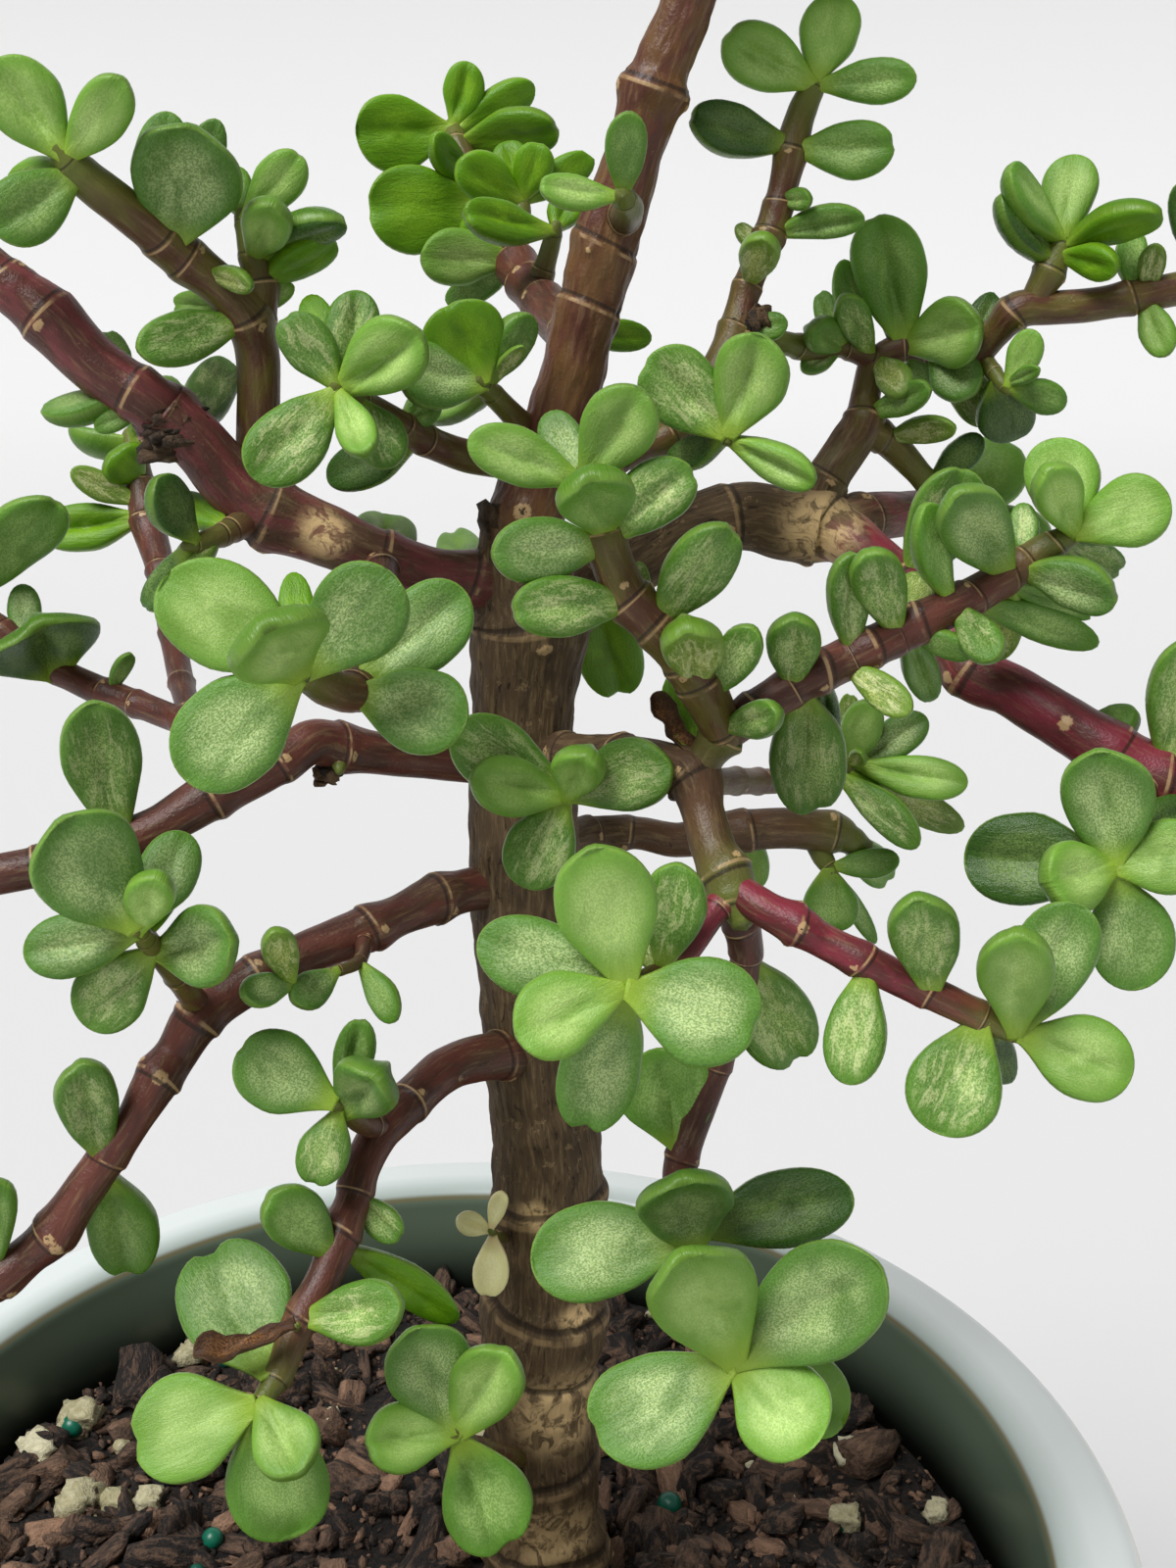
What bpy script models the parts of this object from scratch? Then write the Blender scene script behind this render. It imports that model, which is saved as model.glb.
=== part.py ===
"""A potted elephant bush: pot, soil, trunk and one solid for each leafy limb.

Lengths are in metres. The origin is the centre of the pot's flat base. +Z is up, and the viewer is at -Y.
"""

import math
import random
from typing import NamedTuple

import bmesh
import bpy
from mathutils import Matrix, Vector

MM = 0.001
GAP = 0.3 * MM

# Pot: an ordinary 165 mm plant pot with a wide, rounded lip
POT_HEIGHT = 140 * MM
LIP_RADIUS = 82.5 * MM
LIP_INNER_RADIUS = 71.5 * MM
LIP_DEPTH = 12 * MM
LIP_ROUND = 3 * MM
BASE_RADIUS = 59 * MM
WALL = 3 * MM
FLOOR = 4 * MM
POT_SIDES = 36

# Soil: a lumpy top below the lip, with a hole that the trunk stands in
SOIL_TOP = 124 * MM
SOIL_LUMP = 1.6 * MM
SOIL_SIDES = 20
SOIL_RINGS = 5
TRUNK_FOOT = 99 * MM
TRUNK_CLEARANCE = 1.2 * MM
TRUNK_SIDES = 8
CHIP_COUNT = 12

# The viewpoint that the plant's shape was read from: pixels of the 1200 x 1600 picture
VIEW_CENTRE = (600, 800)
VIEW_FOCAL = 1800
VIEW_PITCH = math.radians(17.9)
VIEW_POINT = Vector((17.3 * MM, -176 * MM, 288 * MM))

# Leaves
LEAF_THICKNESS = 1.9 * MM
LEAF_SIDES = 4
LEAF_RINGS = 4
SMALL_LEAF = 6.2 * MM
LEAF_BOW = 0.07
LEAF_CUP = 0.10
LEAF_WIDEST = 0.60
PETIOLE = 0.20
TUFT_LENGTH = 12.5 * MM
TUFT_WIDTH = 9.5 * MM
TUFT_SPREAD = math.radians(58)

# How a leaf is swung clear of its neighbours
CLEAR_LEAF = 2.3 * MM
CLEAR_STEM = 1.4 * MM
SWING_STEP = 1.5 * MM
SWINGS = 9

COLOURS = {
    "pot": ((0.74, 0.76, 0.73), 0.35),
    "soil": ((0.055, 0.032, 0.022), 0.95),
    "bark": ((0.10, 0.062, 0.045), 0.85),
    "shoot": ((0.13, 0.035, 0.045), 0.55),
    "leaf": ((0.16, 0.33, 0.09), 0.45),
    "pale_leaf": ((0.70, 0.70, 0.36), 0.5),
    "withered": ((0.22, 0.11, 0.04), 0.9),
}


class Limb(NamedTuple):
    """A leafy stem, with the limbs that it grows from or sits against.

    A stem point is (u, v, front, width): its pixel, how far it stands in front of the trunk's plane in mm,
    and its thickness in pixels. A leaf is (base u, base v, tip u, tip v, width, lean, turn): lean is how far
    the tip stands in front of its base in mm, and turn rolls the blade about its length in degrees. A tuft
    is (u, v, size, turn): an opposite pair of leaves at the stem point nearest to that pixel.
    """

    name: str
    hosts: tuple
    stems: tuple
    leaves: tuple = ()
    tufts: tuple = ()
    sides: int = 6
    leaf_finish: str = "leaf"


TRUNK = Limb(
    "trunk",
    (),
    stems=(
        (
            (556, 1800, 0, 116), (556, 1700, 0, 116), (558, 1640, 0, 118), (558, 1570, 0, 122),
            (554, 1535, 0, 110), (553, 1480, 0, 110), (549, 1400, 0, 112), (554, 1350, 0, 124),
            (556, 1322, 0, 122), (557, 1300, 0, 110), (559, 1215, 0, 113), (558, 1157, 0, 108),
            (548, 1100, 0, 102), (542, 1010, 0, 104), (538, 945, 0, 114), (536, 890, 0, 112),
            (534, 800, 0, 108), (534, 730, 0, 104), (538, 660, 0, 112), (540, 630, 0, 120),
            (534, 590, 0, 100), (534, 545, 0, 86), (545, 495, 0, 70), (566, 440, 0, 68), (580, 395, 0, 67),
            (598, 325, 0, 64), (617, 250, 0, 66), (630, 205, 0, 64), (648, 155, 0, 57), (658, 122, 0, 60),
            (669, 88, 0, 72), (676, 68, 0, 60), (702, 0, 0, 54), (722, -62, 0, 50), (735, -120, 0, 46),
            (746, -190, 0, 40), (752, -250, 0, 32), (758, -300, 0, 22),
        ),
    ),
    tufts=(
        (722, -62, 1.0, 20), (735, -130, 1.0, 110), (747, -200, 0.9, 20), (755, -270, 0.8, 110),
        (758, -300, 0.6, 20),
    ),
    sides=TRUNK_SIDES,
)

LIMBS = (
    Limb(
        "upper_left_limb",
        ("trunk",),
        stems=(
            (
                (530, 602, 0, 66), (490, 592, 1, 60), (440, 583, 3, 50), (385, 568, 5, 56),
                (330, 545, 6, 64), (270, 520, 7, 72), (235, 490, 8, 64), (200, 450, 9, 60),
                (165, 420, 9, 64), (150, 408, 10, 54), (97, 372, 10, 58), (45, 320, 10, 60),
                (20, 300, 10, 54), (0, 283, 10, 46), (-45, 245, 10, 44), (-95, 215, 9, 38),
                (-135, 190, 8, 26),
            ),
            ((262, 525, 8, 32), (228, 545, 12, 24), (196, 555, 15, 18)),
        ),
        leaves=(
            (110, 434, 43, 423, 44, 0, 65), (140, 425, 97, 438, 26, 1, 0), (128, 395, 106, 340, 38, -3, 20),
            (195, 440, 232, 370, 50, -8, 0), (198, 555, 158, 487, 52, 3, 35),
            (235, 540, 180, 508, 36, -5, 30), (196, 558, 150, 622, 44, -1, 50),
            (225, 545, 184, 574, 36, 3, 40), (390, 568, 395, 530, 66, -7, 0),
            (480, 588, 462, 545, 50, -6, 0),
        ),
        tufts=((-50, 243, 0.9, 0), (-100, 212, 0.9, 90), (-132, 192, 0.7, 0)),
    ),
    Limb(
        "upper_left_shoot",
        ("upper_left_limb",),
        stems=(
            (
                (266, 522, 6, 44), (263, 470, 5, 44), (264, 400, 5, 44), (262, 360, 5, 45),
                (252, 322, 6, 47), (225, 292, 7, 44), (187, 263, 8, 46), (150, 232, 10, 42),
                (110, 200, 12, 42), (85, 180, 13, 40), (68, 163, 14, 30),
            ),
            ((260, 335, 5, 40), (266, 295, 5, 36), (258, 262, 5, 28), (248, 225, 4, 18)),
        ),
        leaves=(
            (66, 162, -8, 62, 78, 2, 0), (68, 158, 127, 80, 56, 3, 0), (78, 180, -8, 236, 72, 4, 0),
            (76, 172, 12, 200, 50, -5, 0), (172, 250, 196, 126, 112, 6, 0), (160, 240, 172, 115, 56, -2, 0),
            (180, 250, 222, 122, 44, -2, 0), (248, 224, 308, 157, 50, 1, 0),
            (248, 225, 238, 172, 36, -3, 0), (255, 262, 280, 208, 52, 7, 0),
            (262, 262, 351, 222, 50, 3, 55), (264, 288, 343, 245, 48, 0, 45),
            (212, 272, 258, 291, 28, 5, 30), (262, 318, 298, 288, 26, -2, 0),
            (245, 328, 139, 357, 54, 4, 0), (240, 318, 178, 310, 32, -4, 0),
        ),
    ),
    Limb(
        "left_leader_rosette",
        ("trunk",),
        stems=(
            (
                (558, 475, -1, 34), (520, 472, 0, 34), (480, 466, 2, 34), (440, 452, 5, 32),
                (405, 432, 9, 30), (370, 410, 13, 26), (345, 398, 17, 20),
            ),
        ),
        leaves=(
            (345, 398, 290, 322, 54, 0, 0), (350, 398, 367, 298, 58, -3, 0),
            (350, 400, 316, 303, 42, -7, 0), (348, 400, 430, 340, 78, 4, 0), (345, 398, 374, 464, 42, 8, 0),
            (345, 398, 256, 488, 76, 4, 0), (365, 408, 402, 477, 54, 2, 0),
            (430, 448, 336, 490, 50, -3, 15), (408, 434, 446, 404, 36, -3, 20),
        ),
    ),
    Limb(
        "upper_left_sprig",
        ("trunk",),
        stems=(((562, 448, -1, 28), (535, 434, 1, 26), (512, 412, 4, 24), (492, 392, 7, 20)),),
        leaves=(
            (492, 394, 458, 308, 86, 1, 0), (492, 392, 541, 320, 46, -1, 40),
            (494, 396, 402, 372, 68, 2, 20), (498, 398, 534, 352, 18, 3, 30),
            (500, 402, 418, 420, 40, -2, 35),
        ),
    ),
    Limb(
        "leader_sprout",
        ("trunk",),
        stems=(((632, 226, 0, 36), (642, 214, 6, 30), (636, 202, 10, 24)),),
        leaves=((636, 203, 642, 113, 44, 3, 0), (634, 202, 549, 190, 36, 3, 20)),
    ),
    Limb(
        "back_top_cluster",
        ("trunk",),
        stems=(
            (
                (594, 350, 0, 46), (566, 325, -10, 46), (538, 288, -20, 44), (510, 240, -28, 40),
                (486, 195, -34, 32), (468, 150, -38, 26), (462, 132, -40, 18),
            ),
            ((515, 250, -26, 26), (530, 225, -27, 22), (532, 205, -28, 16)),
            ((548, 300, -17, 26), (560, 258, -16, 20), (566, 236, -15, 16)),
        ),
        leaves=(
            (463, 134, 362, 133, 76, 3, 0), (462, 132, 478, 63, 42, 0, 0), (466, 134, 544, 86, 40, -2, 20),
            (466, 146, 571, 132, 52, 4, 20), (480, 195, 441, 138, 36, 6, 30),
            (490, 215, 374, 212, 88, 3, 0), (532, 208, 466, 165, 50, 3, 0), (532, 206, 517, 146, 42, -3, 0),
            (532, 206, 552, 145, 42, 1, 0), (534, 208, 605, 160, 36, -2, 10),
            (564, 238, 472, 217, 46, 5, 30), (566, 237, 582, 200, 36, -3, 0),
            (512, 248, 470, 228, 46, 2, 0), (522, 268, 428, 264, 58, 3, 0), (524, 272, 456, 308, 32, -3, 0),
            (580, 340, 664, 345, 34, -4, 0),
        ),
    ),
    Limb(
        "upper_right_shoot",
        ("trunk",),
        stems=(
            (
                (560, 472, 1, 36), (600, 470, 4, 34), (637, 461, 6, 38), (660, 455, 5, 32),
                (690, 440, 4, 32), (712, 410, 2, 34), (735, 370, 0, 34), (752, 335, -2, 38),
                (760, 300, -3, 30), (775, 262, -4, 30), (786, 238, -5, 34), (797, 200, -6, 30),
                (808, 152, -7, 34), (818, 115, -8, 30), (832, 84, -8, 22),
            ),
            ((722, 392, 2, 24), (736, 420, 8, 20), (742, 446, 12, 17)),
        ),
        leaves=(
            (830, 86, 738, 38, 64, 3, 0), (832, 86, 859, -5, 62, 0, 0), (832, 88, 936, 80, 46, 4, 0),
            (808, 150, 703, 120, 54, 4, 20), (808, 152, 914, 150, 58, 3, 0), (796, 205, 827, 204, 24, 4, 0),
            (788, 240, 883, 222, 36, 2, 20), (780, 258, 752, 230, 20, -2, 30),
            (764, 290, 781, 241, 42, 7, 0), (752, 335, 804, 330, 30, 2, 0), (742, 446, 662, 362, 80, 0, 0),
            (742, 446, 776, 340, 80, 2, 0), (742, 446, 833, 493, 44, 3, 30),
            (742, 446, 683, 470, 36, -5, 35),
        ),
    ),
    Limb(
        "right_limb",
        ("trunk",),
        stems=(
            (
                (560, 648, -3, 60), (600, 602, -9, 64), (650, 572, -11, 66), (690, 545, -12, 66),
                (730, 532, -13, 64), (765, 527, -14, 70), (800, 534, -14, 72), (840, 538, -14, 72),
                (865, 550, -12, 58), (890, 568, -9, 50), (925, 600, -4, 50), (960, 640, 0, 52),
                (993, 686, 4, 58), (1030, 704, 6, 54), (1060, 722, 8, 56), (1110, 752, 11, 58),
                (1165, 785, 13, 60), (1200, 800, 14, 58), (1250, 820, 15, 50), (1300, 832, 15, 42),
                (1335, 836, 15, 28),
            ),
            (
                (845, 538, -14, 52), (885, 528, -18, 50), (925, 524, -24, 46), (965, 518, -30, 40),
                (1000, 515, -35, 28),
            ),
            ((1168, 787, 13, 34), (1160, 820, 18, 28), (1148, 855, 21, 24), (1134, 886, 23, 20)),
        ),
        leaves=(
            (926, 600, 986, 476, 76, 2, 20), (1140, 770, 1120, 733, 80, -5, 0),
            (1190, 795, 1216, 648, 74, 2, 20), (1134, 886, 1121, 763, 94, 2, 0),
            (1136, 882, 984, 876, 96, -4, 0), (1134, 886, 1066, 900, 76, 6, 0),
            (1134, 886, 1228, 862, 78, 3, 0), (1134, 888, 1162, 1008, 86, 2, 0),
            (1150, 850, 1212, 826, 50, -4, 0), (610, 610, 634, 708, 70, -7, 0),
        ),
        tufts=(
            (1240, 815, 0.9, 0), (1290, 830, 0.9, 90), (1330, 836, 0.7, 0), (960, 519, 0.9, 40),
            (998, 515, 0.8, 130),
        ),
    ),
    Limb(
        "right_top_branch",
        ("right_limb",),
        stems=(
            (
                (828, 530, -14, 46), (845, 488, -16, 44), (866, 455, -17, 44), (881, 430, -17, 40),
                (884, 400, -18, 30), (895, 368, -18, 28), (930, 352, -18, 28), (965, 360, -17, 28),
                (991, 362, -16, 34), (1015, 340, -15, 32), (1040, 316, -14, 38), (1075, 314, -14, 34),
                (1120, 310, -14, 34), (1200, 295, -14, 34), (1250, 285, -15, 30), (1295, 276, -16, 22),
            ),
            ((880, 436, -17, 36), (908, 452, -18, 32), (948, 494, -19, 24)),
            ((1000, 362, -16, 20), (1018, 385, -13, 16), (1026, 396, -12, 12)),
            ((893, 368, -18, 26), (860, 352, -17, 26), (826, 355, -15, 26), (800, 350, -13, 24)),
        ),
        leaves=(
            (922, 352, 893, 218, 76, 4, 0), (925, 352, 1003, 332, 72, 7, 0),
            (888, 366, 858, 265, 34, 0, 20), (890, 366, 860, 302, 36, 7, 0), (862, 353, 826, 336, 40, 6, 0),
            (855, 352, 838, 298, 26, -4, 0), (912, 358, 900, 262, 30, -4, 0),
            (862, 354, 818, 378, 26, 3, 20), (890, 368, 926, 402, 36, 6, 0), (950, 358, 996, 402, 52, 4, 0),
            (985, 358, 1016, 301, 34, -4, 0), (930, 354, 946, 400, 32, -3, 0),
            (900, 448, 976, 436, 30, 5, 20), (960, 362, 1008, 432, 44, -3, 0),
            (1015, 382, 1036, 446, 60, -4, 0), (1026, 396, 1088, 412, 36, 0, 0),
            (948, 492, 1002, 444, 34, 1, 10), (1026, 396, 1056, 336, 36, 1, 0),
            (1024, 394, 1061, 376, 18, 4, 0), (885, 425, 950, 394, 32, 7, 0),
            (1158, 303, 1155, 235, 34, -2, 25), (1170, 300, 1180, 248, 28, 2, 0),
            (1165, 302, 1191, 364, 36, 3, 10), (1232, 288, 1204, 185, 42, 0, 0),
        ),
        tufts=((1245, 286, 0.9, 60), (1290, 277, 0.7, 150)),
    ),
    Limb(
        "right_sprig",
        ("right_top_branch",),
        stems=(((1050, 322, -14, 28), (1060, 298, -14, 30), (1072, 276, -14, 32), (1085, 246, -14, 20)),),
        leaves=(
            (1084, 248, 1027, 170, 48, 3, 58), (1074, 270, 1018, 200, 46, 2, 58),
            (1085, 247, 1098, 159, 58, -2, 0), (1085, 248, 1186, 215, 48, 3, 52),
            (1080, 258, 1142, 272, 38, 6, 25),
        ),
    ),
    Limb(
        "front_right_limb",
        ("trunk",),
        stems=(
            (
                (556, 768, 2, 44), (600, 770, 9, 42), (640, 772, 15, 44), (680, 782, 20, 50),
                (708, 795, 22, 58), (718, 830, 24, 44), (728, 865, 26, 46), (741, 895, 28, 54),
                (748, 914, 29, 50),
            ),
            ((706, 796, 22, 42), (722, 770, 22, 38), (738, 750, 22, 44), (750, 738, 22, 34)),
        ),
        leaves=((714, 784, 690, 686, 44, -5, 20), (712, 786, 668, 706, 30, -2, 30)),
    ),
    Limb(
        "front_centre_shoot",
        ("front_right_limb",),
        stems=(
            (
                (741, 752, 22, 40), (722, 712, 24, 46), (698, 672, 25, 48), (668, 638, 26, 46),
                (642, 610, 26, 48), (633, 594, 26, 44), (620, 560, 26, 44), (612, 525, 26, 36),
                (596, 492, 26, 22),
            ),
        ),
        leaves=(
            (597, 494, 477, 447, 58, 2, 0), (596, 492, 656, 396, 78, 2, 0), (597, 494, 560, 422, 46, -4, 0),
            (614, 540, 600, 486, 82, 9, 0), (618, 552, 706, 476, 68, 1, 0), (618, 558, 501, 566, 68, 4, 0),
            (646, 616, 522, 622, 64, 5, 0), (668, 638, 746, 536, 68, 3, 20), (712, 695, 700, 640, 66, 8, 0),
            (722, 712, 770, 640, 46, 4, 0), (736, 742, 795, 728, 40, 8, 0), (655, 624, 652, 574, 20, -5, 0),
        ),
    ),
    Limb(
        "front_right_shoot",
        ("front_right_limb", "front_centre_shoot"),
        stems=(
            (
                (744, 744, 22, 40), (775, 722, 22, 42), (810, 700, 21, 40), (840, 684, 21, 44),
                (865, 672, 20, 40), (890, 660, 20, 42), (915, 648, 19, 40), (940, 634, 19, 42),
                (965, 622, 18, 40), (990, 610, 17, 40), (1020, 592, 16, 38), (1055, 568, 15, 34),
                (1078, 554, 15, 28), (1096, 546, 15, 18),
            ),
        ),
        leaves=(
            (1096, 546, 1070, 449, 74, -3, 0), (1096, 547, 1068, 476, 54, 5, 15),
            (1096, 547, 1194, 506, 76, 3, 0), (1030, 588, 974, 502, 74, 9, 0),
            (970, 618, 943, 513, 46, 3, 35), (1048, 572, 1043, 514, 30, -4, 0),
            (1080, 556, 1144, 580, 40, -6, 0), (1040, 580, 1140, 614, 56, 5, 30),
            (1020, 592, 1117, 628, 28, -5, 0), (985, 612, 1119, 657, 40, -6, 0),
            (1030, 588, 1010, 670, 56, -7, 0), (975, 618, 1018, 674, 44, 7, 0),
            (925, 645, 993, 668, 30, 2, 35), (915, 648, 884, 561, 56, 6, 0),
            (868, 672, 866, 563, 48, 3, 25), (930, 640, 938, 588, 44, -6, 0),
            (862, 676, 930, 728, 38, 5, 10), (925, 645, 950, 713, 38, -7, 0),
            (808, 700, 810, 628, 56, 5, 0), (818, 698, 826, 828, 80, -4, 0),
            (842, 688, 846, 762, 32, -7, 0),
        ),
    ),
    Limb(
        "mid_right_shoot",
        ("front_right_limb",),
        stems=(
            (
                (706, 800, 20, 28), (745, 797, 12, 28), (790, 797, 2, 26), (830, 792, -5, 24),
                (870, 780, -9, 18),
            ),
        ),
        leaves=(
            (868, 780, 866, 707, 26, -2, 0), (870, 780, 888, 714, 42, 2, 0), (870, 780, 946, 732, 42, 0, 0),
            (870, 781, 988, 800, 46, 4, 0), (866, 782, 880, 768, 20, 5, 0), (850, 786, 938, 864, 40, 5, 15),
            (866, 784, 982, 845, 38, -4, 0), (860, 784, 908, 834, 32, 0, 0),
        ),
    ),
    Limb(
        "back_right_limb",
        ("trunk",),
        stems=(
            (
                (556, 862, -2, 38), (601, 852, -9, 38), (650, 850, -11, 34), (691, 857, -12, 36),
                (734, 850, -13, 42), (800, 845, -14, 42), (850, 850, -15, 42), (870, 858, -15, 30),
            ),
            ((830, 852, -15, 26), (838, 872, -14, 22), (848, 888, -13, 15)),
        ),
        leaves=(
            (765, 850, 770, 904, 38, -4, 0), (846, 884, 918, 877, 32, 1, 0), (846, 882, 853, 950, 58, 1, 0),
            (846, 886, 893, 962, 20, -5, 0), (862, 856, 905, 900, 40, -5, 0),
        ),
    ),
    Limb(
        "trunk_rosette",
        ("trunk",),
        stems=(((552, 828, 1, 20), (568, 818, 13, 19), (580, 813, 21, 14)),),
        leaves=(
            (578, 812, 462, 742, 76, 0, 0), (579, 814, 480, 792, 62, 4, 0), (580, 813, 600, 768, 54, 6, 0),
            (580, 813, 686, 780, 76, 1, 0), (579, 815, 532, 904, 72, 2, 0),
        ),
    ),
    Limb(
        "front_rosette",
        ("front_right_limb", "low_right_shoot", "low_front_shoot"),
        stems=(
            (
                (748, 908, 29, 28), (725, 935, 31, 28), (700, 972, 34, 26), (670, 993, 37, 22),
                (637, 1009, 42, 19),
            ),
        ),
        leaves=(
            (640, 1008, 603, 862, 104, 2, 0), (642, 1006, 488, 958, 84, -2, 0),
            (638, 1010, 526, 1060, 88, 4, 0), (642, 1008, 594, 1150, 86, -4, 0),
            (638, 1010, 776, 1042, 112, 2, 0), (676, 990, 692, 880, 66, 0, 0),
            (668, 994, 642, 938, 30, -3, 0),
        ),
    ),
    Limb(
        "low_right_shoot",
        ("front_right_limb",),
        stems=(
            (
                (748, 906, 29, 36), (757, 945, 28, 38), (760, 985, 27, 32), (742, 1060, 27, 28),
                (716, 1130, 28, 30), (695, 1185, 30, 34), (694, 1225, 32, 30), (710, 1275, 34, 28),
                (735, 1340, 37, 26), (749, 1392, 40, 20),
            ),
        ),
        leaves=(
            (758, 975, 814, 1082, 84, -3, 0), (698, 1176, 674, 1066, 102, -3, 0),
            (706, 1262, 542, 1290, 100, 1, 0), (706, 1270, 694, 1200, 102, 6, 0),
            (704, 1258, 870, 1220, 78, -2, 0), (749, 1390, 694, 1278, 116, 8, 0),
            (748, 1390, 604, 1462, 112, 3, 0), (749, 1391, 834, 1474, 102, 5, 0),
            (749, 1390, 900, 1290, 114, 2, 0), (746, 1382, 860, 1446, 86, -5, 0),
        ),
    ),
    Limb(
        "low_front_shoot",
        ("front_right_limb", "low_right_shoot"),
        stems=(
            (
                (748, 906, 29, 36), (780, 927, 31, 38), (815, 945, 32, 42), (840, 960, 32, 36),
                (880, 980, 33, 38), (920, 1000, 33, 36), (960, 1018, 34, 34), (1000, 1037, 34, 32),
                (1038, 1055, 35, 20),
            ),
        ),
        leaves=(
            (950, 1014, 935, 914, 74, 5, 0), (886, 983, 866, 1107, 64, 4, 10),
            (1036, 1054, 1038, 950, 78, 6, 0), (1038, 1054, 1104, 922, 84, -1, 0),
            (1002, 1038, 956, 1156, 98, 3, 0), (1038, 1055, 1154, 1100, 86, 3, 0),
            (1015, 1045, 1026, 1104, 34, -4, 0),
        ),
    ),
    Limb(
        "left_limb",
        ("trunk",),
        stems=(
            (
                (535, 776, 0, 48), (480, 775, 3, 48), (430, 772, 6, 44), (385, 768, 9, 44),
                (345, 762, 11, 50), (318, 757, 13, 46), (290, 775, 15, 44), (250, 797, 17, 44),
                (214, 813, 19, 50), (160, 845, 21, 44), (115, 862, 22, 42), (60, 880, 23, 42),
                (0, 892, 24, 42), (-50, 903, 24, 38), (-95, 910, 24, 30), (-130, 912, 23, 22),
            ),
            ((345, 764, 11, 26), (346, 782, 13, 14)),
        ),
        leaves=((122, 858, 92, 714, 80, 3, 0),),
        tufts=((-55, 904, 0.9, 70), (-98, 910, 0.9, 160), (-126, 912, 0.7, 70)),
    ),
    Limb(
        "left_rosette",
        ("upper_left_limb",),
        stems=(
            (
                (388, 568, 5, 36), (390, 612, 14, 36), (384, 650, 21, 36), (373, 685, 27, 38),
                (360, 706, 31, 42), (336, 702, 34, 40), (312, 690, 37, 32), (300, 684, 39, 20),
            ),
        ),
        leaves=(
            (306, 686, 166, 592, 108, -1, 0), (310, 688, 402, 584, 100, -1, 0),
            (302, 684, 270, 636, 110, 9, 0), (306, 690, 188, 792, 108, 2, 0),
            (304, 684, 300, 586, 38, -7, 0), (365, 700, 474, 602, 86, -3, 0),
            (362, 708, 478, 736, 90, 2, 0),
        ),
    ),
    Limb(
        "back_left_shoot",
        ("left_limb",),
        stems=(
            (
                (305, 768, 14, 28), (250, 752, 3, 28), (190, 737, -7, 28), (150, 722, -11, 28),
                (105, 706, -14, 30), (60, 685, -16, 28), (30, 668, -17, 28), (0, 642, -18, 28),
                (-40, 615, -19, 24), (-75, 592, -19, 18),
            ),
        ),
        leaves=(
            (112, 708, 134, 666, 20, 2, 25), (58, 684, 38, 634, 118, 8, 0), (22, 660, 24, 597, 34, -4, 0),
            (-40, 615, 62, 510, 70, 3, 20),
        ),
        tufts=((-70, 596, 0.8, 30),),
    ),
    Limb(
        "far_back_shoot",
        ("back_left_shoot",),
        stems=(
            (
                (195, 738, -7, 24), (182, 680, -20, 26), (165, 585, -33, 30), (150, 530, -40, 34),
                (136, 450, -46, 22),
            ),
        ),
        leaves=(
            (146, 515, 72, 480, 30, 2, 0), (150, 528, 40, 543, 50, 0, 15), (142, 490, 112, 462, 50, 3, 0),
            (138, 460, 160, 380, 46, 0, 0),
        ),
        tufts=((137, 455, 0.8, 45),),
    ),
    Limb(
        "lower_left_limb",
        ("trunk",),
        stems=(
            (
                (535, 905, 0, 46), (500, 905, 2, 46), (470, 910, 4, 44), (443, 918, 6, 50),
                (405, 935, 9, 42), (375, 948, 11, 48), (306, 975, 15, 44), (258, 1000, 18, 48),
                (225, 1020, 20, 48), (200, 1042, 22, 50), (180, 1075, 23, 44), (160, 1103, 25, 46),
                (135, 1145, 27, 38), (110, 1180, 28, 40), (85, 1215, 29, 42), (55, 1258, 30, 47),
                (30, 1280, 30, 42), (0, 1304, 31, 44), (-45, 1330, 31, 38), (-85, 1350, 31, 30),
                (-112, 1360, 31, 22),
            ),
            ((372, 952, 12, 20), (367, 980, 17, 14), (340, 992, 20, 12), (298, 1004, 23, 9)),
        ),
        leaves=(
            (298, 1004, 279, 948, 38, 4, 0), (300, 1003, 246, 1014, 36, 6, 10),
            (344, 990, 298, 1022, 40, 5, 0), (367, 980, 404, 1043, 34, 4, 25),
            (108, 1184, 80, 1082, 64, 3, 0), (104, 1190, 134, 1297, 74, -4, 15),
            (-12, 1310, 0, 1202, 46, 3, 0),
        ),
        tufts=((-50, 1333, 0.9, 20), (-88, 1351, 0.8, 110), (-110, 1360, 0.6, 20)),
    ),
    Limb(
        "low_left_cluster",
        ("lower_left_limb",),
        stems=(((205, 1030, 21, 26), (180, 995, 27, 26), (158, 968, 30, 24), (138, 945, 34, 16)),),
        leaves=(
            (138, 946, 60, 834, 116, 4, 0), (142, 950, 190, 850, 62, -5, 0), (142, 950, 162, 894, 50, 5, 0),
            (150, 958, 179, 900, 26, -4, 0), (144, 952, 26, 974, 68, 1, 0), (158, 968, 88, 1046, 76, 2, 0),
            (160, 970, 240, 958, 84, 4, 0),
        ),
    ),
    Limb(
        "lower_front_limb",
        ("trunk",),
        stems=(
            (
                (538, 1075, 1, 50), (500, 1078, 6, 48), (454, 1092, 10, 46), (413, 1130, 15, 42),
                (385, 1160, 19, 40), (368, 1195, 22, 38), (360, 1225, 24, 36), (347, 1260, 27, 41),
                (330, 1305, 30, 36), (305, 1350, 33, 36), (286, 1398, 36, 30), (264, 1434, 39, 18),
            ),
            ((392, 1152, 18, 28), (368, 1146, 22, 22), (342, 1126, 27, 15)),
        ),
        leaves=(
            (342, 1127, 242, 1070, 82, 2, 0), (346, 1128, 370, 1039, 42, -1, 0),
            (352, 1134, 386, 1096, 74, 8, 0), (346, 1130, 318, 1209, 54, 3, 0),
            (340, 1282, 274, 1218, 62, 3, 0), (362, 1218, 409, 1265, 36, 2, 15),
            (344, 1270, 466, 1346, 44, -5, 25), (308, 1346, 412, 1332, 66, 4, 0),
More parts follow.
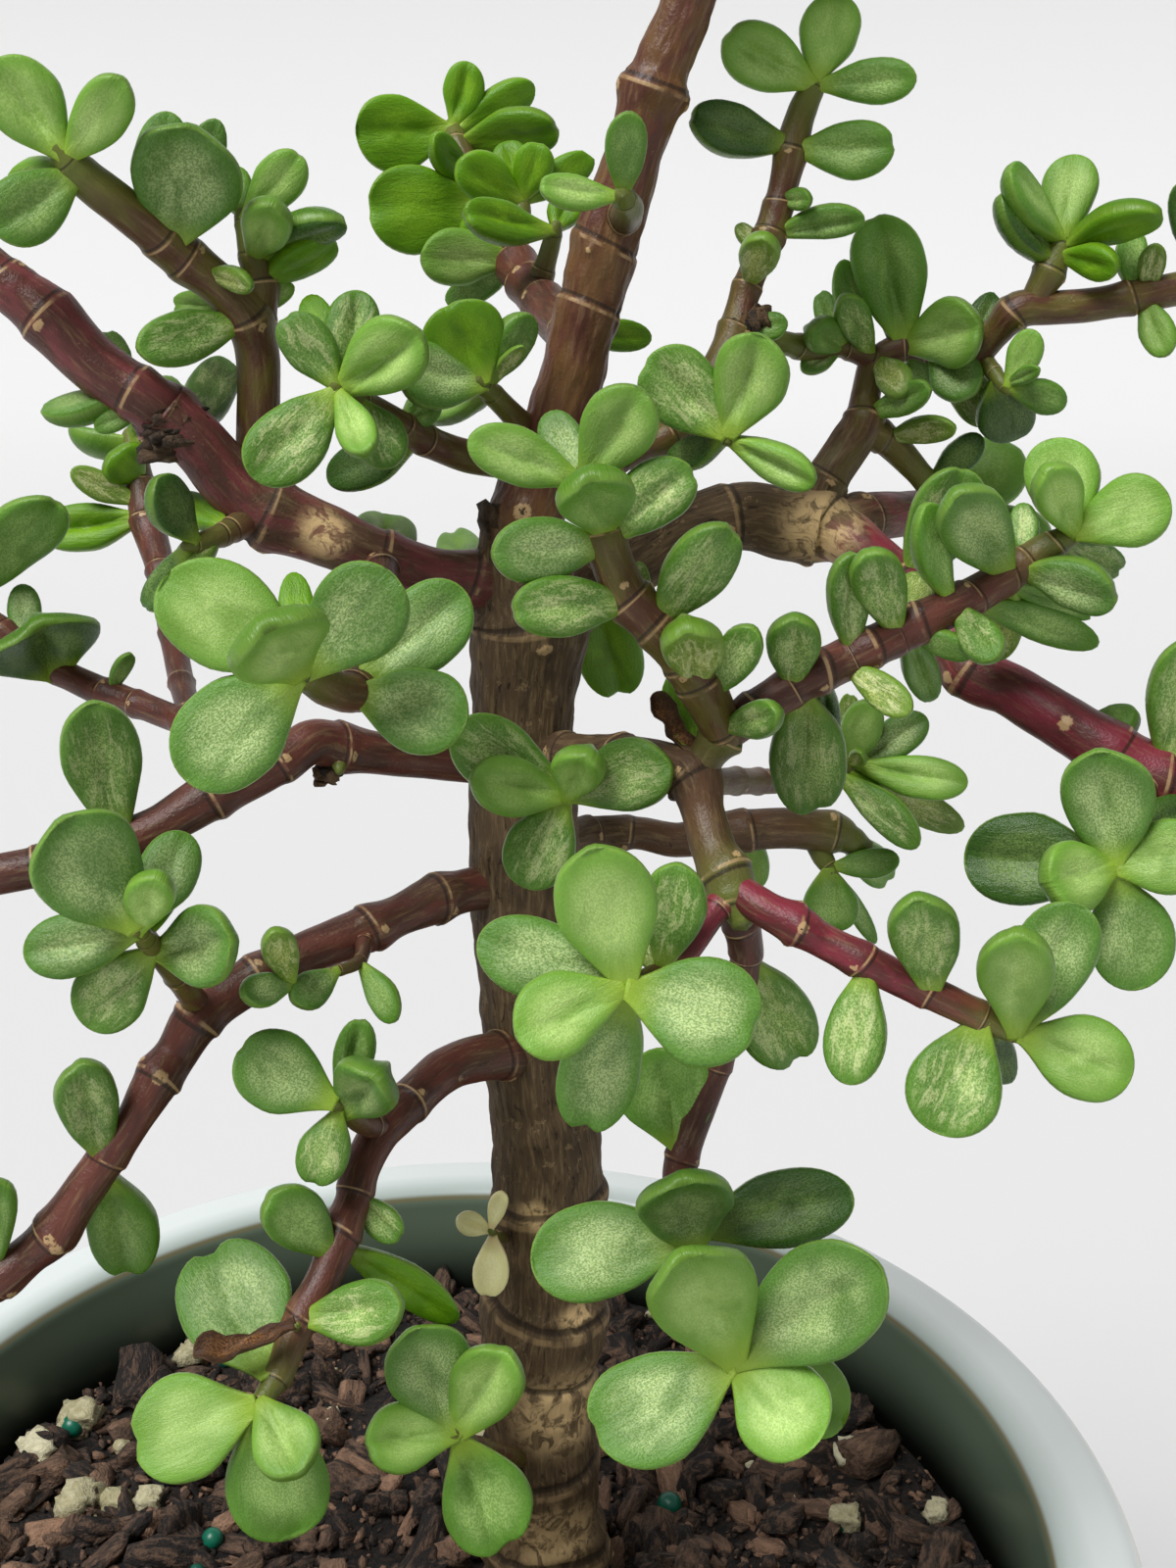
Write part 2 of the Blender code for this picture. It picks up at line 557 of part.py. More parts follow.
            (280, 1410, 212, 1276, 114, -3, 0), (264, 1432, 137, 1476, 106, 2, 0),
            (264, 1430, 308, 1504, 70, 7, 0), (266, 1432, 300, 1565, 106, 0, 0),
        ),
    ),
    Limb(
        "withered_leaf",
        ("lower_front_limb",),
        stems=(((301, 1358, 33, 8), (303, 1352, 36.5, 7)),),
        leaves=((303, 1352, 199, 1390, 44, 3, 30),),
        leaf_finish="withered",
    ),
    Limb(
        "low_centre_rosette",
        ("trunk",),
        stems=(((545, 1492, 1, 16), (505, 1480, 14, 16), (466, 1464, 27, 13)),),
        leaves=(
            (466, 1464, 418, 1354, 92, -2, 0), (467, 1464, 518, 1377, 76, 2, 0),
            (466, 1464, 372, 1470, 70, 4, 0), (466, 1465, 510, 1582, 94, 3, 0),
        ),
    ),
    Limb(
        "pale_sprout",
        ("trunk",),
        stems=(((525, 1262, 2, 12), (508, 1262, 7, 10), (501, 1256, 10, 8)),),
        leaves=(
            (501, 1256, 513, 1215, 20, 0, 0), (501, 1257, 466, 1243, 25, 1, 0),
            (503, 1258, 498, 1323, 38, 2, 0),
        ),
        leaf_finish="pale_leaf",
    ),
)


def sight(u, v, front):
    """The point that the pixel (u, v) shows on the upright plane this many mm in front of the trunk's."""
    right = (u - VIEW_CENTRE[0]) / VIEW_FOCAL
    down = (v - VIEW_CENTRE[1]) / VIEW_FOCAL
    ahead = Vector((right, math.cos(VIEW_PITCH) - down * math.sin(VIEW_PITCH), 0))
    ahead.z = -math.sin(VIEW_PITCH) - down * math.cos(VIEW_PITCH)
    return VIEW_POINT + ahead * ((-front * MM - VIEW_POINT.y) / ahead.y)


def seen_size(pixels, point):
    """The real length of something this many pixels long at a point."""
    away = point - VIEW_POINT
    return pixels * (away.y * math.cos(VIEW_PITCH) - away.z * math.sin(VIEW_PITCH)) / VIEW_FOCAL


def stem_points(stem):
    """Centres and radii along a stem, which ends in a short bud."""
    centres = [sight(u, v, front) for u, v, front, _ in stem]
    radii = [seen_size(point[3], centre) / 2 for centre, point in zip(centres, stem)]
    bud = centres[-1] + (centres[-1] - centres[-2]).normalized() * radii[-1] * 1.3
    return [*zip(centres, radii), (bud, radii[-1] / 2)]


def nearest_on_stems(limb, u, v):
    """(place, direction, radius, front) of the limb's stem point that shows nearest to a pixel."""
    best = None
    for stem in limb.stems:
        for a, b in zip(stem, stem[1:]):
            run, rise = b[0] - a[0], b[1] - a[1]
            along = ((u - a[0]) * run + (v - a[1]) * rise) / (run * run + rise * rise)
            along = min(max(along, 0), 1)
            at = [a[i] + (b[i] - a[i]) * along for i in range(4)]
            missed = math.hypot(u - at[0], v - at[1])
            if best is None or missed < best[0]:
                best = (missed, at, a, b)
    _, at, a, b = best
    place = sight(*at[:3])
    direction = (sight(*b[:3]) - sight(*a[:3])).normalized()
    return place, direction, seen_size(at[3], place) / 2, at[2]


def across(vector, axis):
    """The unit vector of what is left of a vector at right angles to a unit axis."""
    return (vector - axis * vector.dot(axis)).normalized()


class Leaf(NamedTuple):
    """A blade's place: where it leaves its stem, its tip, its facing and its greatest width."""

    root: Vector
    tip: Vector
    facing: Vector
    width: float

    def at(self, along, aside):
        """A point of the blade's middle surface. along runs 0 to 1 and aside -1 to 1."""
        line = self.tip - self.root
        length = line.length
        side = line.normalized().cross(self.facing)
        reach = aside * half_width(along) * self.width
        lift = LEAF_BOW * length * 4 * along * (1 - along) - LEAF_CUP * self.width * aside * aside
        return self.root + line * along + side * reach - self.facing * lift


def half_width(along):
    """An obovate leaf's half width over its whole width: narrow at the base, round at the tip."""
    if along > LEAF_WIDEST:
        reach = (along - LEAF_WIDEST) / (1 - LEAF_WIDEST)
        return 0.5 * math.sqrt(max(0, 1 - reach**2.3))
    rise = math.sin(math.pi / 2 * along / LEAF_WIDEST) ** 1.35
    return 0.5 * (PETIOLE + (1 - PETIOLE) * rise)


def listed_leaf(limb, leaf, swing=0):
    """A leaf of a limb's list, with its tip swung this far towards the viewer."""
    base_u, base_v, tip_u, tip_v, width, lean, turn = leaf
    root, _, _, front = nearest_on_stems(limb, base_u, base_v)
    tip = sight(tip_u, tip_v, front + lean + swing / MM)
    line = (tip - root).normalized()
    facing = across(VIEW_POINT - (root + tip) / 2, line)
    facing.rotate(Matrix.Rotation(math.radians(turn), 3, line))
    return Leaf(root, tip, facing, seen_size(width, (root + tip) / 2))


def tuft_leaves(limb, tuft, swing=0):
    """An opposite pair of leaves, spread from the stem and turned about it."""
    u, v, size, turn = tuft
    root, direction, _, _ = nearest_on_stems(limb, u, v)
    upright = across(Vector((0, 0, 1)) if abs(direction.z) < 0.9 else Vector((0, 1, 0)), direction)
    upright.rotate(Matrix.Rotation(math.radians(turn), 3, direction))
    pair = []
    for sideways in (upright, -upright):
        line = direction * math.cos(TUFT_SPREAD + swing / TUFT_LENGTH) + sideways * math.sin(TUFT_SPREAD)
        tip = root + line.normalized() * TUFT_LENGTH * size
        pair.append(Leaf(root, tip, across(direction, line.normalized()), TUFT_WIDTH * size))
    return pair


def samples(leaf):
    """Points spread over a blade, without its foot, which sits in the stem."""
    return [leaf.at(i / 6, j / 2) for i in range(2, 7) for j in (-2, -1, 0, 1, 2)]


def gap_to_stem(point, a, b):
    """How far a point is outside the round stretch of stem between two (centre, radius) points."""
    line = b[0] - a[0]
    along = min(max((point - a[0]).dot(line) / line.length_squared, 0), 1)
    return (point - a[0] - line * along).length - (a[1] + (b[1] - a[1]) * along)


def crowding(points, others, stretches):
    """How deep a blade's points are in the room of others' blades and stems. 0 is clear."""
    worst = 0
    middle = sum(points, Vector()) / len(points)
    reach = max((point - middle).length for point in points)
    for centre, radius, cloud in others:
        if (centre - middle).length < reach + radius + CLEAR_LEAF:
            worst = max(worst, CLEAR_LEAF - min((p - q).length for p in points for q in cloud))
    for a, b in stretches:
        away = min((a[0] - middle).length, (b[0] - middle).length)
        if away < reach + (b[0] - a[0]).length + CLEAR_LEAF + a[1]:
            worst = max(worst, CLEAR_STEM - min(gap_to_stem(point, a, b) for point in points))
    return worst


def settled_leaves(limbs):
    """Every limb's leaves by its name, each swung as little as it takes to stand clear of the other limbs."""
    stretches = {
        limb.name: [pair for stem in limb.stems for pair in zip(stem_points(stem), stem_points(stem)[1:])]
        for limb in limbs
    }
    placed = {limb.name: [] for limb in limbs}
    blades = {limb.name: [] for limb in limbs}
    swings = sorted((step * SWING_STEP for step in range(-SWINGS, SWINGS + 1)), key=abs)
    for limb in limbs:
        others = [cloud for name in placed if name != limb.name for cloud in placed[name]]
        stems = [pair for name in stretches if name != limb.name for pair in stretches[name]]
        makers = [lambda swing, leaf=leaf: [listed_leaf(limb, leaf, swing)] for leaf in limb.leaves]
        makers += [lambda swing, tuft=tuft: tuft_leaves(limb, tuft, swing) for tuft in limb.tufts]
        for make in makers:
            best = None
            for swing in swings:
                group = make(swing)
                crowd = sum(crowding(samples(leaf), others, stems) for leaf in group)
                if best is None or crowd < best[0]:
                    best = (crowd, group)
                if crowd <= 0:
                    break
            for leaf in best[1]:
                cloud = samples(leaf)
                middle = sum(cloud, Vector()) / len(cloud)
                placed[limb.name].append((middle, max((point - middle).length for point in cloud), cloud))
                blades[limb.name].append(leaf)
    return blades


def remove_all_objects():
    """Empties the scene."""
    for obj in list(bpy.data.objects):
        bpy.data.objects.remove(obj, do_unlink=True)
    for old in list(bpy.data.collections):
        bpy.data.collections.remove(old)


def make_collection(name):
    """A new collection in the scene."""
    made = bpy.data.collections.new(name)
    bpy.context.scene.collection.children.link(made)
    return made


def make_material(name):
    """A Principled material in one of the object's colours."""
    colour, roughness = COLOURS[name]
    material = bpy.data.materials.new(name)
    material.use_nodes = True
    shader = material.node_tree.nodes["Principled BSDF"]
    shader.inputs["Base Color"].default_value = (*colour, 1)
    shader.inputs["Roughness"].default_value = roughness
    shader.inputs["Metallic"].default_value = 0
    return material


def add_object(name, mesh, collection, material):
    """A mesh as a named object."""
    obj = bpy.data.objects.new(name, mesh)
    mesh.materials.clear()
    mesh.materials.append(material)
    collection.objects.link(obj)
    return obj


def applied(obj):
    """Bakes an object's modifiers into its mesh."""
    graph = bpy.context.evaluated_depsgraph_get()
    mesh = bpy.data.meshes.new_from_object(obj.evaluated_get(graph))
    obj.modifiers.clear()
    obj.data = mesh


def turned(name, profile, sides, collection, material):
    """A solid turned about Z from (radius, height) points that run from the axis round to the axis again."""
    mesh = bpy.data.meshes.new(name)
    edges = [(i, i + 1) for i in range(len(profile) - 1)]
    mesh.from_pydata([(radius, 0, height) for radius, height in profile], edges, [])
    obj = add_object(name, mesh, collection, material)
    screw = obj.modifiers.new("turn", "SCREW")
    screw.steps = screw.render_steps = sides
    screw.use_merge_vertices = True
    screw.merge_threshold = 0.01 * MM
    screw.use_normal_calculate = True
    applied(obj)
    return obj


def arc(centre_radius, centre_height, radius, start, end, steps):
    """Points of a round stretch of a profile. Angles are in degrees, 0 outwards and 90 up."""
    angles = [math.radians(start + (end - start) * i / steps) for i in range(steps + 1)]
    return [(centre_radius + radius * math.cos(a), centre_height + radius * math.sin(a)) for a in angles]


def inner_radius(height):
    """The pot's inner wall: straight from the floor up to the lip's inner edge."""
    share = (height - FLOOR) / (POT_HEIGHT - LIP_ROUND - FLOOR)
    return BASE_RADIUS - WALL + (LIP_INNER_RADIUS - BASE_RADIUS + WALL) * share


def build_pot(collection, material):
    """The pot: a tapered cup with a wide rounded lip that overhangs its wall."""
    outer_top = inner_radius(POT_HEIGHT - LIP_DEPTH) + WALL
    profile = [(0, FLOOR), (BASE_RADIUS - WALL, FLOOR)]
    profile += arc(LIP_INNER_RADIUS + LIP_ROUND, POT_HEIGHT - LIP_ROUND, LIP_ROUND, 180, 90, 3)
    profile += arc(LIP_RADIUS - LIP_ROUND, POT_HEIGHT - LIP_ROUND, LIP_ROUND, 90, 0, 3)
    profile += [(LIP_RADIUS - 0.6 * MM, POT_HEIGHT - LIP_DEPTH), (outer_top, POT_HEIGHT - LIP_DEPTH - MM)]
    profile += [(BASE_RADIUS, 2 * MM), (BASE_RADIUS - 2 * MM, 0), (0, 0)]
    return turned("pot", profile, POT_SIDES, collection, material)


def mesh_object(name, shape, collection, material):
    """A bmesh as a named object."""
    mesh = bpy.data.meshes.new(name)
    bmesh.ops.recalc_face_normals(shape, faces=shape.faces)
    shape.to_mesh(mesh)
    shape.free()
    return add_object(name, mesh, collection, material)


def scatter_chips(rng, area_radius, hole_middle, hole_radius, chips, material):
    """Bark chips strewn over the soil, clear of the trunk's hole."""
    while len(chips.objects) < CHIP_COUNT:
        size = rng.uniform(3, 6) * MM
        away, bearing = math.sqrt(rng.random()) * area_radius, rng.uniform(0, math.tau)
        middle = Vector((away * math.cos(bearing), away * math.sin(bearing), SOIL_TOP + 0.4 * MM))
        if (middle.xy - hole_middle.xy).length < hole_radius + size + 3 * MM:
            continue
        place = Matrix.Translation(middle) @ Matrix.Rotation(rng.uniform(0, math.tau), 4, "Z")
        place @= Matrix.Rotation(rng.uniform(-0.5, 0.5), 4, "Y")
        place @= Matrix.Diagonal((size, size * rng.uniform(0.5, 0.8), size * 0.35, 1))
        shape = bmesh.new()
        bmesh.ops.create_icosphere(shape, subdivisions=1, radius=1, matrix=place)
        mesh_object("chip", shape, chips, material)


def build_soil(collection, cutters, material, hole_middle, hole_radius):
    """The soil: a plug that fills the pot, lumpy on top, with chips on it and a plain hole for the trunk."""
    rng = random.Random(7)
    low = FLOOR + GAP
    top_radius = inner_radius(SOIL_TOP) - 2 * GAP
    profile = [(top_radius * i / SOIL_RINGS, SOIL_TOP) for i in range(SOIL_RINGS + 1)]
    profile += [(inner_radius(low) - 2 * GAP, low), (0, low)]
    soil = turned("soil", profile, SOIL_SIDES, collection, material)
    for vertex in soil.data.vertices:
        if vertex.co.z > SOIL_TOP - MM and vertex.co.xy.length < top_radius - MM:
            vertex.co.z += SOIL_LUMP * rng.uniform(-1, 1)
    chips = bpy.data.collections.new("chips")
    scatter_chips(rng, top_radius - 8 * MM, hole_middle, hole_radius, chips, material)
    join_collection(soil, chips)
    keep_largest_body(soil)
    depth = SOIL_TOP - TRUNK_FOOT + 10 * MM
    hole = bmesh.new()
    bmesh.ops.create_cone(
        hole,
        cap_ends=True,
        segments=16,
        radius1=hole_radius,
        radius2=hole_radius + MM,
        depth=depth,
        matrix=Matrix.Translation((hole_middle.x, hole_middle.y, TRUNK_FOOT - GAP + depth / 2)),
    )
    cut(soil, [mesh_object("trunk_hole", hole, cutters, material)])
    return soil


def tube(name, points, sides, collection, material, extra=0):
    """A closed tube through (centre, radius) points, made thicker by extra."""
    curve = bpy.data.curves.new(name, "CURVE")
    curve.dimensions = "3D"
    curve.bevel_depth = MM
    curve.bevel_resolution = (sides - 4) // 2
    curve.use_fill_caps = True
    spline = curve.splines.new("POLY")
    spline.points.add(len(points) - 1)
    for place, (centre, radius) in zip(spline.points, points):
        place.co = (*centre, 1)
        place.radius = (radius + extra) / MM
    guide = bpy.data.objects.new(name + "_route", curve)
    collection.objects.link(guide)
    graph = bpy.context.evaluated_depsgraph_get()
    mesh = bpy.data.meshes.new_from_object(guide.evaluated_get(graph))
    bpy.data.objects.remove(guide, do_unlink=True)
    shape = bmesh.new()
    shape.from_mesh(mesh)
    bmesh.ops.remove_doubles(shape, verts=shape.verts, dist=0.001 * MM)
    return mesh_object(name, shape, collection, material)


def blade(name, leaf, collection, material):
    """A leaf's solid: a sphere's net drawn out to the leaf's outline, thick inside and thin at its rim."""
    shape = bmesh.new()
    rings = LEAF_RINGS - (leaf.width < SMALL_LEAF)
    bmesh.ops.create_uvsphere(shape, u_segments=LEAF_SIDES, v_segments=rings, radius=1)
    for vertex in shape.verts:
        along = (vertex.co.z + 1) / 2
        ring = vertex.co.xy.length
        aside, proud = (vertex.co.x / ring, vertex.co.y / ring) if ring > 0.01 else (0, 0)
        thick = LEAF_THICKNESS * (0.55 + 0.45 * math.sin(math.pi * along)) if ring > 0.01 else 0
        vertex.co = leaf.at(along, aside) + leaf.facing * (proud * thick / 2)
    return mesh_object(name, shape, collection, material)


def join_collection(obj, pieces):
    """Unites an object with all of a collection, whose objects are then removed."""
    union = obj.modifiers.new("join", "BOOLEAN")
    union.operation = "UNION"
    union.operand_type = "COLLECTION"
    union.collection = pieces
    union.solver = "EXACT"
    union.material_mode = "TRANSFER"
    applied(obj)
    for piece in list(pieces.objects):
        bpy.data.objects.remove(piece, do_unlink=True)
    bpy.data.collections.remove(pieces)


def cut(obj, tools):
    """Cuts an object by closed tools, which are then removed."""
    for tool in tools:
        tool.hide_render = True
        tool.display_type = "WIRE"
        difference = obj.modifiers.new("cut", "BOOLEAN")
        difference.operation = "DIFFERENCE"
        difference.object = tool
        difference.solver = "MANIFOLD"
    applied(obj)
    for tool in tools:
        bpy.data.objects.remove(tool, do_unlink=True)


def keep_largest_body(obj):
    """Drops loose scraps that a cut left behind."""
    shape = bmesh.new()
    shape.from_mesh(obj.data)
    left = set(shape.verts)
    bodies = []
    while left:
        body, edge = set(), [left.pop()]
        while edge:
            vertex = edge.pop()
            body.add(vertex)
            fresh = {link.other_vert(vertex) for link in vertex.link_edges} & left
            left -= fresh
            edge.extend(fresh)
        bodies.append(body)
    bodies.sort(key=len)
    for scrap in bodies[:-1]:
        bmesh.ops.delete(shape, geom=list(scrap), context="VERTS")
    bmesh.ops.triangulate(shape, faces=shape.faces)
    shape.to_mesh(obj.data)
    shape.free()


def build_limb(limb, leaves, limbs, collection, cutters, materials):
    """A leafy limb as one solid: its stems and leaves joined, and its foot cut to meet what it grows from."""
    wood = materials["bark" if limb.name == "trunk" else "shoot"]
    main, *more = limb.stems
    obj = tube(limb.name, stem_points(main), limb.sides, collection, wood)
    pieces = bpy.data.collections.new(limb.name + "_pieces")
    for stem in more:
        tube(limb.name + "_side", stem_points(stem), 6, pieces, wood)
    for leaf in leaves:
        blade(limb.name + "_leaf", leaf, pieces, materials[limb.leaf_finish])
    join_collection(obj, pieces)
    for host in (limbs[name] for name in limb.hosts):
        cut(obj, [tube("host", stem_points(stem), host.sides, cutters, wood, GAP) for stem in host.stems])
        keep_largest_body(obj)
    return obj


def finish_shading(obj):
    """Smooth faces with crisp edges."""
    obj.data.shade_smooth()
    obj.data.set_sharp_from_angle(angle=math.radians(50))


def main():
    """Builds the whole part."""
    remove_all_objects()
    plant = make_collection("potted_elephant_bush")
    cutters = make_collection("cutters")
    materials = {name: make_material(name) for name in COLOURS}
    limbs = {limb.name: limb for limb in (TRUNK, *LIMBS)}
    blades = settled_leaves(limbs.values())
    foot_middle, foot_radius = stem_points(TRUNK.stems[0])[1]
    build_pot(plant, materials["pot"])
    build_soil(plant, cutters, materials["soil"], foot_middle, foot_radius + TRUNK_CLEARANCE)
    for limb in limbs.values():
        build_limb(limb, blades[limb.name], limbs, plant, cutters, materials)
    for obj in plant.objects:
        finish_shading(obj)


if __name__ == "__main__":
    main()
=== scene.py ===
"""Dresses the potted elephant bush: fine leaves, ringed stems, a glazed pot and bark soil."""

import logging
import math
import random
from dataclasses import dataclass, field
from enum import Enum
from typing import Any, Sequence

import bmesh
import bpy
from mathutils import Euler, Matrix, Vector, noise


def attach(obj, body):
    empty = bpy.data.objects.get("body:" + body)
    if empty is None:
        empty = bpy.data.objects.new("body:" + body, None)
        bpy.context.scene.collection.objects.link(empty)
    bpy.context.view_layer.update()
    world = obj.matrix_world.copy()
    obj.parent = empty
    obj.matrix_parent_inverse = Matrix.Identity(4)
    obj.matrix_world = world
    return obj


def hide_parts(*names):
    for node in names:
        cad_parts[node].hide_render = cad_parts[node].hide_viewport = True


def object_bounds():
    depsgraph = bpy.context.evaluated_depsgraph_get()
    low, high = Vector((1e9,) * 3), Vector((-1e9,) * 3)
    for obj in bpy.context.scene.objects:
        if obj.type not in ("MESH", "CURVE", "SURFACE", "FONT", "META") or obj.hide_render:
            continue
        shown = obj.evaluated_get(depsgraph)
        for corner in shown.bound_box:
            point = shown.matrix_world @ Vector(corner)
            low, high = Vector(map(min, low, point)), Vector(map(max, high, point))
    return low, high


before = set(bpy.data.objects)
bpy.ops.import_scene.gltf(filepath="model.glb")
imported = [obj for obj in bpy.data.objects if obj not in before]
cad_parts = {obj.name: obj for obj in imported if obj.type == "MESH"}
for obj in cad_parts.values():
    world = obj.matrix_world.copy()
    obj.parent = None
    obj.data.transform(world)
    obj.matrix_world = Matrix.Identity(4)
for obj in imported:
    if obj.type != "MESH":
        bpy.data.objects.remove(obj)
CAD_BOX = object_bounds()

MM = 0.001
BODY = "root"
Colour = tuple[float, float, float]
Row = tuple[float, ...]
Disc = tuple[Vector, float]
log = logging.getLogger("elephant_bush")


def tint(red: int, green: int, blue: int) -> Colour:
    """A colour named by its screen values, as the shader's linear one."""
    shares = (red / 255, green / 255, blue / 255)
    return tuple(s / 12.92 if s < 0.0405 else ((s + 0.055) / 1.055) ** 2.4 for s in shares)


@dataclass(frozen=True)
class Viewpoint:
    """The place that the plant is seen from, with pixels of a 1200 x 1600 picture."""

    centre: tuple[int, int] = (600, 800)
    height: int = 1600
    focal: float = 1800
    pitch: float = math.radians(17.9)
    point: tuple[float, float, float] = (17.3 * MM, -176 * MM, 288 * MM)
    sensor: float = 36

    def ray(self, u: float, v: float) -> Vector:
        """The direction that a pixel looks in.

        Args:
            u: Pixels from the picture's left edge.
            v: Pixels from its top edge.

        Returns:
            A direction, not of unit length.
        """
        right = (u - self.centre[0]) / self.focal
        down = (v - self.centre[1]) / self.focal
        ahead = Vector((right, math.cos(self.pitch) - down * math.sin(self.pitch), 0))
        ahead.z = -math.sin(self.pitch) - down * math.cos(self.pitch)
        return ahead

    def sight(self, u: float, v: float, front: float) -> Vector:
        """The point that a pixel shows on an upright plane.

        Args:
            u: Pixels from the left.
            v: Pixels from the top.
            front: How far the plane is in front of the trunk's, in mm.

        Returns:
            The point, in metres.
        """
        ahead = self.ray(u, v)
        eye = Vector(self.point)
        return eye + ahead * ((-front * MM - eye.y) / ahead.y)

    def ground(self, u: float, v: float, level: float) -> Vector:
        """The point that a pixel shows on a level plane.

        Args:
            u: Pixels from the left.
            v: Pixels from the top.
            level: The plane's height in metres.

        Returns:
            The point, in metres.
        """
        ahead = self.ray(u, v)
        eye = Vector(self.point)
        return eye + ahead * ((level - eye.z) / ahead.z)

    def seen_size(self, pixels: float, point: Vector) -> float:
        """The real length of something seen at a point.

        Args:
            pixels: Its length in the picture.
            point: Where it is.

        Returns:
            Its length in metres.
        """
        away = point - Vector(self.point)
        return pixels * (away.y * math.cos(self.pitch) - away.z * math.sin(self.pitch)) / self.focal

    def place_camera(self) -> None:
        """Puts the scene's camera here."""
        camera = bpy.data.cameras.new("camera")
        camera.sensor_width = self.sensor
        camera.lens = self.focal * self.sensor / self.height
        camera.clip_end = 20
        holder = bpy.data.objects.new("camera", camera)
        holder.location = self.point
        holder.rotation_euler = Euler((math.pi / 2 - self.pitch, 0, 0))
        bpy.context.scene.collection.objects.link(holder)
        bpy.context.scene.camera = holder


VIEW = Viewpoint()


class Look(Enum):
    """How a leaf is coloured."""

    LIGHT = "L"
    MID = "M"
    DARK = "D"
    SILVER = "S"
    STREAKED = "V"
    CREAM = "C"
    BRIGHT = "U"
    PALE = "Y"
    WITHERED = "W"


LOOK_ORDER = tuple(Look)
UNLISTED_LOOKS = "LMS"
ODD_SLOTS = {"pale_sprout": "pale_leaf", "withered_leaf": "withered"}
TRUNK_AT_SOIL = 3


class Skin(Enum):
    """A stem's skin, as (fresh colour, ripe colour, radii in mm where wood begins and covers it)."""

    CRIMSON = (tint(126, 42, 56), tint(90, 42, 42), 3.2, 4.2)
    PLUM = (tint(98, 54, 44), tint(72, 42, 34), 3.2, 4.3)
    BOUGH = (tint(116, 56, 58), tint(82, 46, 40), 3.5, 4.8)
    OLIVE = (tint(96, 84, 36), tint(88, 54, 38), 2.9, 4.0)
    LEADER = (tint(104, 72, 40), tint(88, 50, 38), 3.9, 5.0)
    WOOD = (tint(92, 64, 44), tint(76, 50, 36), 2.4, 3.4)


SKINS = {
    "trunk": Skin.LEADER,
    "upper_left_limb": Skin.BOUGH,
    "upper_left_shoot": Skin.OLIVE,
    "left_leader_rosette": Skin.OLIVE,
    "upper_left_sprig": Skin.OLIVE,
    "back_top_cluster": Skin.PLUM,
    "upper_right_shoot": Skin.OLIVE,
    "right_limb": Skin.CRIMSON,
    "right_top_branch": Skin.OLIVE,
    "right_sprig": Skin.OLIVE,
    "front_centre_shoot": Skin.OLIVE,
    "front_right_shoot": Skin.PLUM,
    "mid_right_shoot": Skin.OLIVE,
    "front_rosette": Skin.CRIMSON,
    "low_right_shoot": Skin.PLUM,
    "low_front_shoot": Skin.CRIMSON,
    "left_limb": Skin.PLUM,
    "left_rosette": Skin.PLUM,
    "back_left_shoot": Skin.PLUM,
    "far_back_shoot": Skin.PLUM,
    "lower_left_limb": Skin.PLUM,
    "low_left_cluster": Skin.OLIVE,
    "lower_front_limb": Skin.PLUM,
    "low_centre_rosette": Skin.OLIVE,
}


@dataclass(frozen=True)
class Limb:
    """A leafy stem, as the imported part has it.

    A stem point is (u, v, front, width): its pixel, how far it stands in front of the trunk's plane in mm,
    and its thickness in pixels. A leaf is (base u, base v, tip u, tip v, width, lean, turn): lean is how far
    the tip stands in front of its base in mm, and turn rolls the blade about its length in degrees. A tuft is
    (u, v, size, turn): an opposite pair of leaves at the stem point nearest to that pixel. looks has a letter
    for each leaf. marks are nodes at (u, v). scars and dry, flaky patches are (u, v, size). A broken stub is
    (u, v, run, drop, width, whether it was cut), in pixels.
    """

    name: str
    stems: tuple[tuple[Row, ...], ...]
    leaves: tuple[Row, ...] = ()
    tufts: tuple[Row, ...] = ()
    looks: str = ""
    marks: tuple[Row, ...] = ()
    scars: tuple[Row, ...] = ()
    dry: tuple[Row, ...] = ()
    stubs: tuple[Row, ...] = ()

    def routes(self) -> list[list[Disc]]:
        """Each stem's centres and radii, ending in a short bud.

        Returns:
            A list of (centre, radius) points for each stem.
        """
        made = []
        for stem in self.stems:
            centres = [VIEW.sight(u, v, front) for u, v, front, _ in stem]
            radii = [VIEW.seen_size(point[3], centre) / 2 for centre, point in zip(centres, stem)]
            bud = centres[-1] + (centres[-1] - centres[-2]).normalized() * radii[-1] * 1.3
            made.append([*zip(centres, radii), (bud, radii[-1] / 2)])
        return made

    def nearest(self, u: float, v: float) -> tuple[Vector, Vector, float]:
        """The stem point that shows nearest to a pixel.

        Args:
            u: Pixels from the left.
            v: Pixels from the top.

        Returns:
            Its place, the stem's direction there and its front in mm.
        """
        best = None
        for stem in self.stems:
            for a, b in zip(stem, stem[1:]):
                run, rise = b[0] - a[0], b[1] - a[1]
                along = ((u - a[0]) * run + (v - a[1]) * rise) / (run * run + rise * rise)
                along = min(max(along, 0), 1)
                at = [a[i] + (b[i] - a[i]) * along for i in range(4)]
                missed = math.hypot(u - at[0], v - at[1])
                if best is None or missed < best[0]:
                    best = (missed, at, a, b)
        _, at, a, b = best
        direction = (VIEW.sight(*b[:3]) - VIEW.sight(*a[:3])).normalized()
        return VIEW.sight(*at[:3]), direction, at[2]

    def spots(self, rows: tuple[Row, ...]) -> list[Disc]:
        """Places on the side of the stem that faces the viewer.

        Args:
            rows: The places, as (u, v, size in pixels).

        Returns:
            Each place and its size in metres.
        """
        made = []
        for u, v, size in rows:
            root, _, front = self.nearest(u, v)
            made.append((VIEW.sight(u, v, front), VIEW.seen_size(size, root)))
        return made


